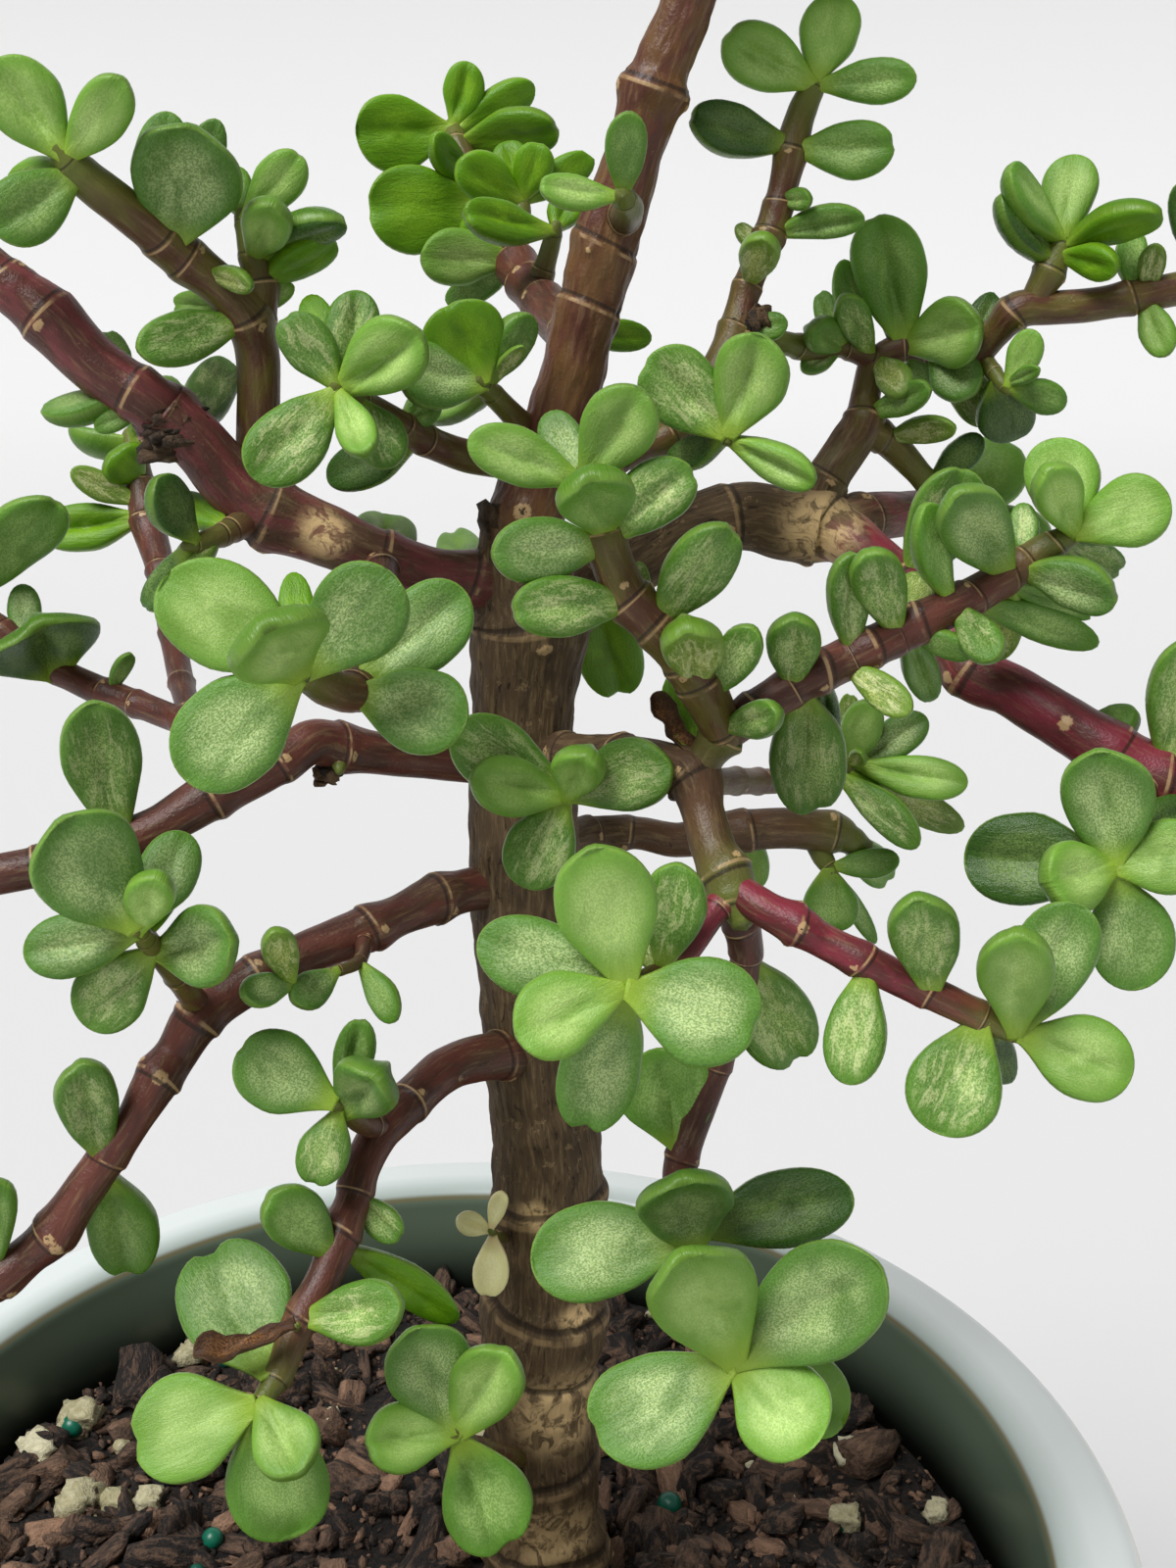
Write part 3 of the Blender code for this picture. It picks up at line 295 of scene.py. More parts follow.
TRUNK = Limb(
    "trunk",
    stems=(
        ((556, 1800, 0, 116), (556, 1700, 0, 116), (558, 1640, 0, 118), (558, 1570, 0, 122),
        (554, 1535, 0, 110), (553, 1480, 0, 110), (549, 1400, 0, 112), (554, 1350, 0, 124),
        (556, 1322, 0, 122), (557, 1300, 0, 110), (559, 1215, 0, 113), (558, 1157, 0, 108),
        (548, 1100, 0, 102), (542, 1010, 0, 104), (538, 945, 0, 114), (536, 890, 0, 112),
        (534, 800, 0, 108), (534, 730, 0, 104), (538, 660, 0, 112), (540, 630, 0, 120), (534, 590, 0, 100),
        (534, 545, 0, 86), (545, 495, 0, 70), (566, 440, 0, 68), (580, 395, 0, 67), (598, 325, 0, 64),
        (617, 250, 0, 66), (630, 205, 0, 64), (648, 155, 0, 57), (658, 122, 0, 60), (669, 88, 0, 72),
        (676, 68, 0, 60), (702, 0, 0, 54), (722, -62, 0, 50), (735, -120, 0, 46), (746, -190, 0, 40),
        (752, -250, 0, 32), (758, -300, 0, 22)),
    ),
    tufts=(
        (722, -62, 1.0, 20), (735, -130, 1.0, 110), (747, -200, 0.9, 20), (755, -270, 0.8, 110),
        (758, -300, 0.6, 20),
    ),
    marks=(
        (598, 312), (617, 250), (540, 605), (558, 1160), (558, 1180), (558, 1216), (556, 1322), (553, 1392),
        (553, 1487), (557, 1560),
    ),
    scars=((534, 522, 18), (597, 216, 11), (600, 255, 9), (520, 1237, 9)),
    dry=((574, 1438, 96), (548, 1236, 34), (564, 1562, 80), (560, 312, 14), (590, 1345, 40)),
    stubs=((540, 522, -42, 16, 40, 0), (548, 516, 12, 2, 30, 1)),
)

LIMBS = (
    Limb(
        "upper_left_limb",
        stems=(
            ((530, 602, 0, 66), (490, 592, 1, 60), (440, 583, 3, 50), (385, 568, 5, 56), (330, 545, 6, 64),
            (270, 520, 7, 72), (235, 490, 8, 64), (200, 450, 9, 60), (165, 420, 9, 64), (150, 408, 10, 54),
            (97, 372, 10, 58), (45, 320, 10, 60), (20, 300, 10, 54), (0, 283, 10, 46), (-45, 245, 10, 44),
            (-95, 215, 9, 38), (-135, 190, 8, 26)),
            ((262, 525, 8, 32), (228, 545, 12, 24), (196, 555, 15, 18)),
        ),
        leaves=(
            (110, 434, 43, 423, 44, 0, 65), (140, 425, 97, 438, 26, 1, 0), (128, 395, 106, 340, 38, -3, 20),
            (195, 440, 232, 370, 50, -8, 0), (198, 555, 158, 487, 52, 3, 35),
            (235, 540, 180, 508, 36, -5, 30), (196, 558, 150, 622, 44, -1, 50),
            (225, 545, 184, 574, 36, 3, 40), (390, 568, 395, 530, 66, -7, 0),
            (480, 588, 462, 545, 50, -6, 0),
        ),
        tufts=((-50, 243, 0.9, 0), (-100, 212, 0.9, 90), (-132, 192, 0.7, 0)),
        scars=((298, 563, 13),),
        stubs=((164, 434, 8, 36, 58, 0), (174, 436, 16, 12, 46, 0)),
        dry=((330, 545, 52), (255, 320, 24)),
        looks="MMMVDUDCLU",
    ),
    Limb(
        "upper_left_shoot",
        stems=(
            ((266, 522, 6, 44), (263, 470, 5, 44), (264, 400, 5, 44), (262, 360, 5, 45), (252, 322, 6, 47),
            (225, 292, 7, 44), (187, 263, 8, 46), (150, 232, 10, 42), (110, 200, 12, 42), (85, 180, 13, 40),
            (68, 163, 14, 30)),
            ((260, 335, 5, 40), (266, 295, 5, 36), (258, 262, 5, 28), (248, 225, 4, 18)),
        ),
        leaves=(
            (66, 162, -8, 62, 78, 2, 0), (68, 158, 127, 80, 56, 3, 0), (78, 180, -8, 236, 72, 4, 0),
            (76, 172, 12, 200, 50, -5, 0), (172, 250, 196, 126, 112, 6, 0), (160, 240, 172, 115, 56, -2, 0),
            (180, 250, 222, 122, 44, -2, 0), (248, 224, 308, 157, 50, 1, 0),
            (248, 225, 238, 172, 36, -3, 0), (255, 262, 280, 208, 52, 7, 0),
            (262, 262, 351, 222, 50, 3, 55), (264, 288, 343, 245, 48, 0, 45),
            (212, 272, 258, 291, 28, 5, 30), (262, 318, 298, 288, 26, -2, 0),
            (245, 328, 139, 357, 54, 4, 0), (240, 318, 178, 310, 32, -4, 0),
        ),
        looks="LLMLSSSLULDUCLVL",
    ),
    Limb(
        "left_leader_rosette",
        stems=(
            ((558, 475, -1, 34), (520, 472, 0, 34), (480, 466, 2, 34), (440, 452, 5, 32), (405, 432, 9, 30),
            (370, 410, 13, 26), (345, 398, 17, 20)),
        ),
        leaves=(
            (345, 398, 290, 322, 54, 0, 0), (350, 398, 367, 298, 58, -3, 0),
            (350, 400, 316, 303, 42, -7, 0), (348, 400, 430, 340, 78, 4, 0), (345, 398, 374, 464, 42, 8, 0),
            (345, 398, 256, 488, 76, 4, 0), (365, 408, 402, 477, 54, 2, 0),
            (430, 448, 336, 490, 50, -3, 15), (408, 434, 446, 404, 36, -3, 20),
        ),
        looks="VVULLVVDM",
    ),
    Limb(
        "upper_left_sprig",
        stems=(
            ((562, 448, -1, 28), (535, 434, 1, 26), (512, 412, 4, 24), (492, 392, 7, 20)),
        ),
        leaves=(
            (492, 394, 458, 308, 86, 1, 0), (492, 392, 541, 320, 46, -1, 40),
            (494, 396, 402, 372, 68, 2, 20), (498, 398, 534, 352, 18, 3, 30),
            (500, 402, 418, 420, 40, -2, 35),
        ),
        looks="UMSCL",
    ),
    Limb(
        "leader_sprout",
        stems=(
            ((632, 226, 0, 36), (642, 214, 6, 30), (636, 202, 10, 24)),
        ),
        leaves=((636, 203, 642, 113, 44, 3, 0), (634, 202, 549, 190, 36, 3, 20)),
        looks="ML",
    ),
    Limb(
        "back_top_cluster",
        stems=(
            ((594, 350, 0, 46), (566, 325, -10, 46), (538, 288, -20, 44), (510, 240, -28, 40),
            (486, 195, -34, 32), (468, 150, -38, 26), (462, 132, -40, 18)),
            ((515, 250, -26, 26), (530, 225, -27, 22), (532, 205, -28, 16)),
            ((548, 300, -17, 26), (560, 258, -16, 20), (566, 236, -15, 16)),
        ),
        leaves=(
            (463, 134, 362, 133, 76, 3, 0), (462, 132, 478, 63, 42, 0, 0), (466, 134, 544, 86, 40, -2, 20),
            (466, 146, 571, 132, 52, 4, 20), (480, 195, 441, 138, 36, 6, 30),
            (490, 215, 374, 212, 88, 3, 0), (532, 208, 466, 165, 50, 3, 0), (532, 206, 517, 146, 42, -3, 0),
            (532, 206, 552, 145, 42, 1, 0), (534, 208, 605, 160, 36, -2, 10),
            (564, 238, 472, 217, 46, 5, 30), (566, 237, 582, 200, 36, -3, 0),
            (512, 248, 470, 228, 46, 2, 0), (522, 268, 428, 264, 58, 3, 0), (524, 272, 456, 308, 32, -3, 0),
            (580, 340, 664, 345, 34, -4, 0),
        ),
        looks="UUUUUUUUUUUUULMU",
    ),
    Limb(
        "upper_right_shoot",
        stems=(
            ((560, 472, 1, 36), (600, 470, 4, 34), (637, 461, 6, 38), (660, 455, 5, 32), (690, 440, 4, 32),
            (712, 410, 2, 34), (735, 370, 0, 34), (752, 335, -2, 38), (760, 300, -3, 30),
            (775, 262, -4, 30), (786, 238, -5, 34), (797, 200, -6, 30), (808, 152, -7, 34),
            (818, 115, -8, 30), (832, 84, -8, 22)),
            ((722, 392, 2, 24), (736, 420, 8, 20), (742, 446, 12, 17)),
        ),
        leaves=(
            (830, 86, 738, 38, 64, 3, 0), (832, 86, 859, -5, 62, 0, 0), (832, 88, 936, 80, 46, 4, 0),
            (808, 150, 703, 120, 54, 4, 20), (808, 152, 914, 150, 58, 3, 0), (796, 205, 827, 204, 24, 4, 0),
            (788, 240, 883, 222, 36, 2, 20), (780, 258, 752, 230, 20, -2, 30),
            (764, 290, 781, 241, 42, 7, 0), (752, 335, 804, 330, 30, 2, 0), (742, 446, 662, 362, 80, 0, 0),
            (742, 446, 776, 340, 80, 2, 0), (742, 446, 833, 493, 44, 3, 30),
            (742, 446, 683, 470, 36, -5, 35),
        ),
        stubs=((757, 334, 30, -12, 26, 0),),
        looks="LLMDMMMCCMVLLD",
    ),
    Limb(
        "right_limb",
        stems=(
            ((560, 648, -3, 60), (600, 602, -9, 64), (650, 572, -11, 66), (690, 545, -12, 66),
            (730, 532, -13, 64), (765, 527, -14, 70), (800, 534, -14, 72), (840, 538, -14, 72),
            (865, 550, -12, 58), (890, 568, -9, 50), (925, 600, -4, 50), (960, 640, 0, 52),
            (993, 686, 4, 58), (1030, 704, 6, 54), (1060, 722, 8, 56), (1110, 752, 11, 58),
            (1165, 785, 13, 60), (1200, 800, 14, 58), (1250, 820, 15, 50), (1300, 832, 15, 42),
            (1335, 836, 15, 28)),
            ((845, 538, -14, 52), (885, 528, -18, 50), (925, 524, -24, 46), (965, 518, -30, 40),
            (1000, 515, -35, 28)),
            ((1168, 787, 13, 34), (1160, 820, 18, 28), (1148, 855, 21, 24), (1134, 886, 23, 20)),
        ),
        leaves=(
            (926, 600, 986, 476, 76, 2, 20), (1140, 770, 1120, 733, 80, -5, 0),
            (1190, 795, 1216, 648, 74, 2, 20), (1134, 886, 1121, 763, 94, 2, 0),
            (1136, 882, 984, 876, 96, -4, 0), (1134, 886, 1066, 900, 76, 6, 0),
            (1134, 886, 1228, 862, 78, 3, 0), (1134, 888, 1162, 1008, 86, 2, 0),
            (1150, 850, 1212, 826, 50, -4, 0), (610, 610, 634, 708, 70, -7, 0),
        ),
        tufts=(
            (1240, 815, 0.9, 0), (1290, 830, 0.9, 90), (1330, 836, 0.7, 0), (960, 519, 0.9, 40),
            (998, 515, 0.8, 130),
        ),
        scars=((765, 508, 15), (1088, 738, 15)),
        dry=((840, 540, 84),),
        looks="VMVSDLLSDU",
    ),
    Limb(
        "right_top_branch",
        stems=(
            ((828, 530, -14, 46), (845, 488, -16, 44), (866, 455, -17, 44), (881, 430, -17, 40),
            (884, 400, -18, 30), (895, 368, -18, 28), (930, 352, -18, 28), (965, 360, -17, 28),
            (991, 362, -16, 34), (1015, 340, -15, 32), (1040, 316, -14, 38), (1075, 314, -14, 34),
            (1120, 310, -14, 34), (1200, 295, -14, 34), (1250, 285, -15, 30), (1295, 276, -16, 22)),
            ((880, 436, -17, 36), (908, 452, -18, 32), (948, 494, -19, 24)),
            ((1000, 362, -16, 20), (1018, 385, -13, 16), (1026, 396, -12, 12)),
            ((893, 368, -18, 26), (860, 352, -17, 26), (826, 355, -15, 26), (800, 350, -13, 24)),
        ),
        leaves=(
            (922, 352, 893, 218, 76, 4, 0), (925, 352, 1003, 332, 72, 7, 0),
            (888, 366, 858, 265, 34, 0, 20), (890, 366, 860, 302, 36, 7, 0), (862, 353, 826, 336, 40, 6, 0),
            (855, 352, 838, 298, 26, -4, 0), (912, 358, 900, 262, 30, -4, 0),
            (862, 354, 818, 378, 26, 3, 20), (890, 368, 926, 402, 36, 6, 0), (950, 358, 996, 402, 52, 4, 0),
            (985, 358, 1016, 301, 34, -4, 0), (930, 354, 946, 400, 32, -3, 0),
            (900, 448, 976, 436, 30, 5, 20), (960, 362, 1008, 432, 44, -3, 0),
            (1015, 382, 1036, 446, 60, -4, 0), (1026, 396, 1088, 412, 36, 0, 0),
            (948, 492, 1002, 444, 34, 1, 10), (1026, 396, 1056, 336, 36, 1, 0),
            (1024, 394, 1061, 376, 18, 4, 0), (885, 425, 950, 394, 32, 7, 0),
            (1158, 303, 1155, 235, 34, -2, 25), (1170, 300, 1180, 248, 28, 2, 0),
            (1165, 302, 1191, 364, 36, 3, 10), (1232, 288, 1204, 185, 42, 0, 0),
        ),
        tufts=((1245, 286, 0.9, 60), (1290, 277, 0.7, 150)),
        looks="MLMVMMDVCSDMCCDMDLMMMCLD",
    ),
    Limb(
        "right_sprig",
        stems=(
            ((1050, 322, -14, 28), (1060, 298, -14, 30), (1072, 276, -14, 32), (1085, 246, -14, 20)),
        ),
        leaves=(
            (1084, 248, 1027, 170, 48, 3, 58), (1074, 270, 1018, 200, 46, 2, 58),
            (1085, 247, 1098, 159, 58, -2, 0), (1085, 248, 1186, 215, 48, 3, 52),
            (1080, 258, 1142, 272, 38, 6, 25),
        ),
        looks="MDLUU",
    ),
    Limb(
        "front_right_limb",
        stems=(
            ((556, 768, 2, 44), (600, 770, 9, 42), (640, 772, 15, 44), (680, 782, 20, 50),
            (708, 795, 22, 58), (718, 830, 24, 44), (728, 865, 26, 46), (741, 895, 28, 54),
            (748, 914, 29, 50)),
            ((706, 796, 22, 42), (722, 770, 22, 38), (738, 750, 22, 44), (750, 738, 22, 34)),
        ),
        leaves=((714, 784, 690, 686, 44, -5, 20), (712, 786, 668, 706, 30, -2, 30)),
        looks="UW",
    ),
    Limb(
        "front_centre_shoot",
        stems=(
            ((741, 752, 22, 40), (722, 712, 24, 46), (698, 672, 25, 48), (668, 638, 26, 46),
            (642, 610, 26, 48), (633, 594, 26, 44), (620, 560, 26, 44), (612, 525, 26, 36),
            (596, 492, 26, 22)),
        ),
        leaves=(
            (597, 494, 477, 447, 58, 2, 0), (596, 492, 656, 396, 78, 2, 0), (597, 494, 560, 422, 46, -4, 0),
            (614, 540, 600, 486, 82, 9, 0), (618, 552, 706, 476, 68, 1, 0), (618, 558, 501, 566, 68, 4, 0),
            (646, 616, 522, 622, 64, 5, 0), (668, 638, 746, 536, 68, 3, 20), (712, 695, 700, 640, 66, 8, 0),
            (722, 712, 770, 640, 46, 4, 0), (736, 742, 795, 728, 40, 8, 0), (655, 624, 652, 574, 20, -5, 0),
        ),
        dry=((708, 795, 50),),
        scars=((637, 597, 9),),
        looks="LLSMVSVVCVVC",
    ),
    Limb(
        "front_right_shoot",
        stems=(
            ((744, 744, 22, 40), (775, 722, 22, 42), (810, 700, 21, 40), (840, 684, 21, 44),
            (865, 672, 20, 40), (890, 660, 20, 42), (915, 648, 19, 40), (940, 634, 19, 42),
            (965, 622, 18, 40), (990, 610, 17, 40), (1020, 592, 16, 38), (1055, 568, 15, 34),
            (1078, 554, 15, 28), (1096, 546, 15, 18)),
        ),
        leaves=(
            (1096, 546, 1070, 449, 74, -3, 0), (1096, 547, 1068, 476, 54, 5, 15),
            (1096, 547, 1194, 506, 76, 3, 0), (1030, 588, 974, 502, 74, 9, 0),
            (970, 618, 943, 513, 46, 3, 35), (1048, 572, 1043, 514, 30, -4, 0),
            (1080, 556, 1144, 580, 40, -6, 0), (1040, 580, 1140, 614, 56, 5, 30),
            (1020, 592, 1117, 628, 28, -5, 0), (985, 612, 1119, 657, 40, -6, 0),
            (1030, 588, 1010, 670, 56, -7, 0), (975, 618, 1018, 674, 44, 7, 0),
            (925, 645, 993, 668, 30, 2, 35), (915, 648, 884, 561, 56, 6, 0),
            (868, 672, 866, 563, 48, 3, 25), (930, 640, 938, 588, 44, -6, 0),
            (862, 676, 930, 728, 38, 5, 10), (925, 645, 950, 713, 38, -7, 0),
            (808, 700, 810, 628, 56, 5, 0), (818, 698, 826, 828, 80, -4, 0),
            (842, 688, 846, 762, 32, -7, 0),
        ),
        looks="LLLSMVVSMMCVMVVCCMVVD",
    ),
    Limb(
        "mid_right_shoot",
        stems=(
            ((706, 800, 20, 28), (745, 797, 12, 28), (790, 797, 2, 26), (830, 792, -5, 24),
            (870, 780, -9, 18)),
        ),
        leaves=(
            (868, 780, 866, 707, 26, -2, 0), (870, 780, 888, 714, 42, 2, 0), (870, 780, 946, 732, 42, 0, 0),
            (870, 781, 988, 800, 46, 4, 0), (866, 782, 880, 768, 20, 5, 0), (850, 786, 938, 864, 40, 5, 15),
            (866, 784, 982, 845, 38, -4, 0), (860, 784, 908, 834, 32, 0, 0),
        ),
        looks="CLSLCVCU",
    ),
    Limb(
        "back_right_limb",
        stems=(
            ((556, 862, -2, 38), (601, 852, -9, 38), (650, 850, -11, 34), (691, 857, -12, 36),
            (734, 850, -13, 42), (800, 845, -14, 42), (850, 850, -15, 42), (870, 858, -15, 30)),
            ((830, 852, -15, 26), (838, 872, -14, 22), (848, 888, -13, 15)),
        ),
        leaves=(
            (765, 850, 770, 904, 38, -4, 0), (846, 884, 918, 877, 32, 1, 0), (846, 882, 853, 950, 58, 1, 0),
            (846, 886, 893, 962, 20, -5, 0), (862, 856, 905, 900, 40, -5, 0),
        ),
        looks="LMMMM",
    ),
    Limb(
        "trunk_rosette",
        stems=(
            ((552, 828, 1, 20), (568, 818, 13, 19), (580, 813, 21, 14)),
        ),
        leaves=(
            (578, 812, 462, 742, 76, 0, 0), (579, 814, 480, 792, 62, 4, 0), (580, 813, 600, 768, 54, 6, 0),
            (580, 813, 686, 780, 76, 1, 0), (579, 815, 532, 904, 72, 2, 0),
        ),
        looks="VLLVV",
    ),
    Limb(
        "front_rosette",
        stems=(
            ((748, 908, 29, 28), (725, 935, 31, 28), (700, 972, 34, 26), (670, 993, 37, 22),
            (637, 1009, 42, 19)),
        ),
        leaves=(
            (640, 1008, 603, 862, 104, 2, 0), (642, 1006, 488, 958, 84, -2, 0),
            (638, 1010, 526, 1060, 88, 4, 0), (642, 1008, 594, 1150, 86, -4, 0),
            (638, 1010, 776, 1042, 112, 2, 0), (676, 990, 692, 880, 66, 0, 0),
            (668, 994, 642, 938, 30, -3, 0),
        ),
        dry=((748, 917, 24),),
        looks="LSLSSVC",
    ),
    Limb(
        "low_right_shoot",
        stems=(
            ((748, 906, 29, 36), (757, 945, 28, 38), (760, 985, 27, 32), (742, 1060, 27, 28),
            (716, 1130, 28, 30), (695, 1185, 30, 34), (694, 1225, 32, 30), (710, 1275, 34, 28),
            (735, 1340, 37, 26), (749, 1392, 40, 20)),
        ),
        leaves=(
            (758, 975, 814, 1082, 84, -3, 0), (698, 1176, 674, 1066, 102, -3, 0),
            (706, 1262, 542, 1290, 100, 1, 0), (706, 1270, 694, 1200, 102, 6, 0),
            (704, 1258, 870, 1220, 78, -2, 0), (749, 1390, 694, 1278, 116, 8, 0),
            (748, 1390, 604, 1462, 112, 3, 0), (749, 1391, 834, 1474, 102, 5, 0),
            (749, 1390, 900, 1290, 114, 2, 0), (746, 1382, 860, 1446, 86, -5, 0),
        ),
        looks="VMSSDLSLSU",
    ),
    Limb(
        "low_front_shoot",
        stems=(
            ((748, 906, 29, 36), (780, 927, 31, 38), (815, 945, 32, 42), (840, 960, 32, 36),
            (880, 980, 33, 38), (920, 1000, 33, 36), (960, 1018, 34, 34), (1000, 1037, 34, 32),
            (1038, 1055, 35, 20)),
        ),
        leaves=(
            (950, 1014, 935, 914, 74, 5, 0), (886, 983, 866, 1107, 64, 4, 10),
            (1036, 1054, 1038, 950, 78, 6, 0), (1038, 1054, 1104, 922, 84, -1, 0),
            (1002, 1038, 956, 1156, 98, 3, 0), (1038, 1055, 1154, 1100, 86, 3, 0),
            (1015, 1045, 1026, 1104, 34, -4, 0),
        ),
        scars=((819, 947, 12),),
        looks="VVLSVLD",
    ),
    Limb(
        "left_limb",
        stems=(
            ((535, 776, 0, 48), (480, 775, 3, 48), (430, 772, 6, 44), (385, 768, 9, 44), (345, 762, 11, 50),
            (318, 757, 13, 46), (290, 775, 15, 44), (250, 797, 17, 44), (214, 813, 19, 50),
            (160, 845, 21, 44), (115, 862, 22, 42), (60, 880, 23, 42), (0, 892, 24, 42), (-50, 903, 24, 38),
            (-95, 910, 24, 30), (-130, 912, 23, 22)),
            ((345, 764, 11, 26), (346, 782, 13, 14)),
        ),
        leaves=((122, 858, 92, 714, 80, 3, 0),),
        tufts=((-55, 904, 0.9, 70), (-98, 910, 0.9, 160), (-126, 912, 0.7, 70)),
        stubs=((345, 742, -8, 34, 24, 0),),
        looks="V",
    ),
    Limb(
        "left_rosette",
        stems=(
            ((388, 568, 5, 36), (390, 612, 14, 36), (384, 650, 21, 36), (373, 685, 27, 38),
            (360, 706, 31, 42), (336, 702, 34, 40), (312, 690, 37, 32), (300, 684, 39, 20)),
        ),
        leaves=(
            (306, 686, 166, 592, 108, -1, 0), (310, 688, 402, 584, 100, -1, 0),
            (302, 684, 270, 636, 110, 9, 0), (306, 690, 188, 792, 108, 2, 0),
            (304, 684, 300, 586, 38, -7, 0), (365, 700, 474, 602, 86, -3, 0),
            (362, 708, 478, 736, 90, 2, 0),
        ),
        looks="LSLSUSS",
    ),
    Limb(
        "back_left_shoot",
        stems=(
            ((305, 768, 14, 28), (250, 752, 3, 28), (190, 737, -7, 28), (150, 722, -11, 28),
            (105, 706, -14, 30), (60, 685, -16, 28), (30, 668, -17, 28), (0, 642, -18, 28),
            (-40, 615, -19, 24), (-75, 592, -19, 18)),
        ),
        leaves=(
            (112, 708, 134, 666, 20, 2, 25), (58, 684, 38, 634, 118, 8, 0), (22, 660, 24, 597, 34, -4, 0),
            (-40, 615, 62, 510, 70, 3, 20),
        ),
        tufts=((-70, 596, 0.8, 30),),
        looks="MDSM",
    ),
    Limb(
        "far_back_shoot",
        stems=(
            ((195, 738, -7, 24), (182, 680, -20, 26), (165, 585, -33, 30), (150, 530, -40, 34),
            (136, 450, -46, 22)),
        ),
        leaves=(
            (146, 515, 72, 480, 30, 2, 0), (150, 528, 40, 543, 50, 0, 15), (142, 490, 112, 462, 50, 3, 0),
            (138, 460, 160, 380, 46, 0, 0),
        ),
        tufts=((137, 455, 0.8, 45),),
        looks="CUUC",
    ),
    Limb(
        "lower_left_limb",
        stems=(
            ((535, 905, 0, 46), (500, 905, 2, 46), (470, 910, 4, 44), (443, 918, 6, 50), (405, 935, 9, 42),
            (375, 948, 11, 48), (306, 975, 15, 44), (258, 1000, 18, 48), (225, 1020, 20, 48),
            (200, 1042, 22, 50), (180, 1075, 23, 44), (160, 1103, 25, 46), (135, 1145, 27, 38),
            (110, 1180, 28, 40), (85, 1215, 29, 42), (55, 1258, 30, 47), (30, 1280, 30, 42),
            (0, 1304, 31, 44), (-45, 1330, 31, 38), (-85, 1350, 31, 30), (-112, 1360, 31, 22)),
            ((372, 952, 12, 20), (367, 980, 17, 14), (340, 992, 20, 12), (298, 1004, 23, 9)),
        ),
        leaves=(
            (298, 1004, 279, 948, 38, 4, 0), (300, 1003, 246, 1014, 36, 6, 10),
            (344, 990, 298, 1022, 40, 5, 0), (367, 980, 404, 1043, 34, 4, 25),
            (108, 1184, 80, 1082, 64, 3, 0), (104, 1190, 134, 1297, 74, -4, 15),
            (-12, 1310, 0, 1202, 46, 3, 0),
        ),
        tufts=((-50, 1333, 0.9, 20), (-88, 1351, 0.8, 110), (-110, 1360, 0.6, 20)),
        scars=((371, 937, 10), (163, 1100, 14), (57, 1272, 13)),
        stubs=((192, 1026, -20, -4, 30, 0), (188, 1036, -12, 14, 22, 0)),
        looks="CSSMVMM",
    ),
    Limb(
        "low_left_cluster",
        stems=(
            ((205, 1030, 21, 26), (180, 995, 27, 26), (158, 968, 30, 24), (138, 945, 34, 16)),
        ),
        leaves=(
            (138, 946, 60, 834, 116, 4, 0), (142, 950, 190, 850, 62, -5, 0), (142, 950, 162, 894, 50, 5, 0),
            (150, 958, 179, 900, 26, -4, 0), (144, 952, 26, 974, 68, 1, 0), (158, 968, 88, 1046, 76, 2, 0),
            (160, 970, 240, 958, 84, 4, 0),
        ),
        looks="SSLUSVS",
    ),
    Limb(
        "lower_front_limb",
        stems=(
            ((538, 1075, 1, 50), (500, 1078, 6, 48), (454, 1092, 10, 46), (413, 1130, 15, 42),
            (385, 1160, 19, 40), (368, 1195, 22, 38), (360, 1225, 24, 36), (347, 1260, 27, 41),
            (330, 1305, 30, 36), (305, 1350, 33, 36), (286, 1398, 36, 30), (264, 1434, 39, 18)),
            ((392, 1152, 18, 28), (368, 1146, 22, 22), (342, 1126, 27, 15)),
        ),
        leaves=(
            (342, 1127, 242, 1070, 82, 2, 0), (346, 1128, 370, 1039, 42, -1, 0),
            (352, 1134, 386, 1096, 74, 8, 0), (346, 1130, 318, 1209, 54, 3, 0),
            (340, 1282, 274, 1218, 62, 3, 0), (362, 1218, 409, 1265, 36, 2, 15),
            (344, 1270, 466, 1346, 44, -5, 25), (308, 1346, 412, 1332, 66, 4, 0),
            (280, 1410, 212, 1276, 114, -3, 0), (264, 1432, 137, 1476, 106, 2, 0),
            (264, 1430, 308, 1504, 70, 7, 0), (266, 1432, 300, 1565, 106, 0, 0),
        ),
        scars=((465, 1098, 12),),
        looks="SMSVMVUVSLLM",
    ),
    Limb(
        "withered_leaf",
        stems=(
            ((301, 1358, 33, 8), (303, 1352, 36.5, 7)),
        ),
        leaves=((303, 1352, 199, 1390, 44, 3, 30),),
        looks="W",
    ),
    Limb(
        "low_centre_rosette",
        stems=(
            ((545, 1492, 1, 16), (505, 1480, 14, 16), (466, 1464, 27, 13)),
        ),
        leaves=(
            (466, 1464, 418, 1354, 92, -2, 0), (467, 1464, 518, 1377, 76, 2, 0),
            (466, 1464, 372, 1470, 70, 4, 0), (466, 1465, 510, 1582, 94, 3, 0),
        ),
        looks="SLLM",
    ),
    Limb(
        "pale_sprout",
        stems=(
            ((525, 1262, 2, 12), (508, 1262, 7, 10), (501, 1256, 10, 8)),
        ),
        leaves=(
            (501, 1256, 513, 1215, 20, 0, 0), (501, 1257, 466, 1243, 25, 1, 0),
            (503, 1258, 498, 1323, 38, 2, 0),
        ),
        looks="YYY",
    ),
)


LEAF_BOW = 0.07
LEAF_CUP = 0.10
LEAF_WIDEST = 0.60
PETIOLE = 0.20
TUFT_LENGTH = 12.5 * MM
TUFT_WIDTH = 9.5 * MM
TUFT_SPREAD = math.radians(58)
CLEAR_LEAF = 2.3 * MM
CLEAR_STEM = 1.4 * MM
SWING_STEP = 1.5 * MM
SWINGS = 9


def across(vector: Vector, axis: Vector) -> Vector:
    """The unit vector of what is left of a vector at right angles to a unit axis."""
    return (vector - axis * vector.dot(axis)).normalized()


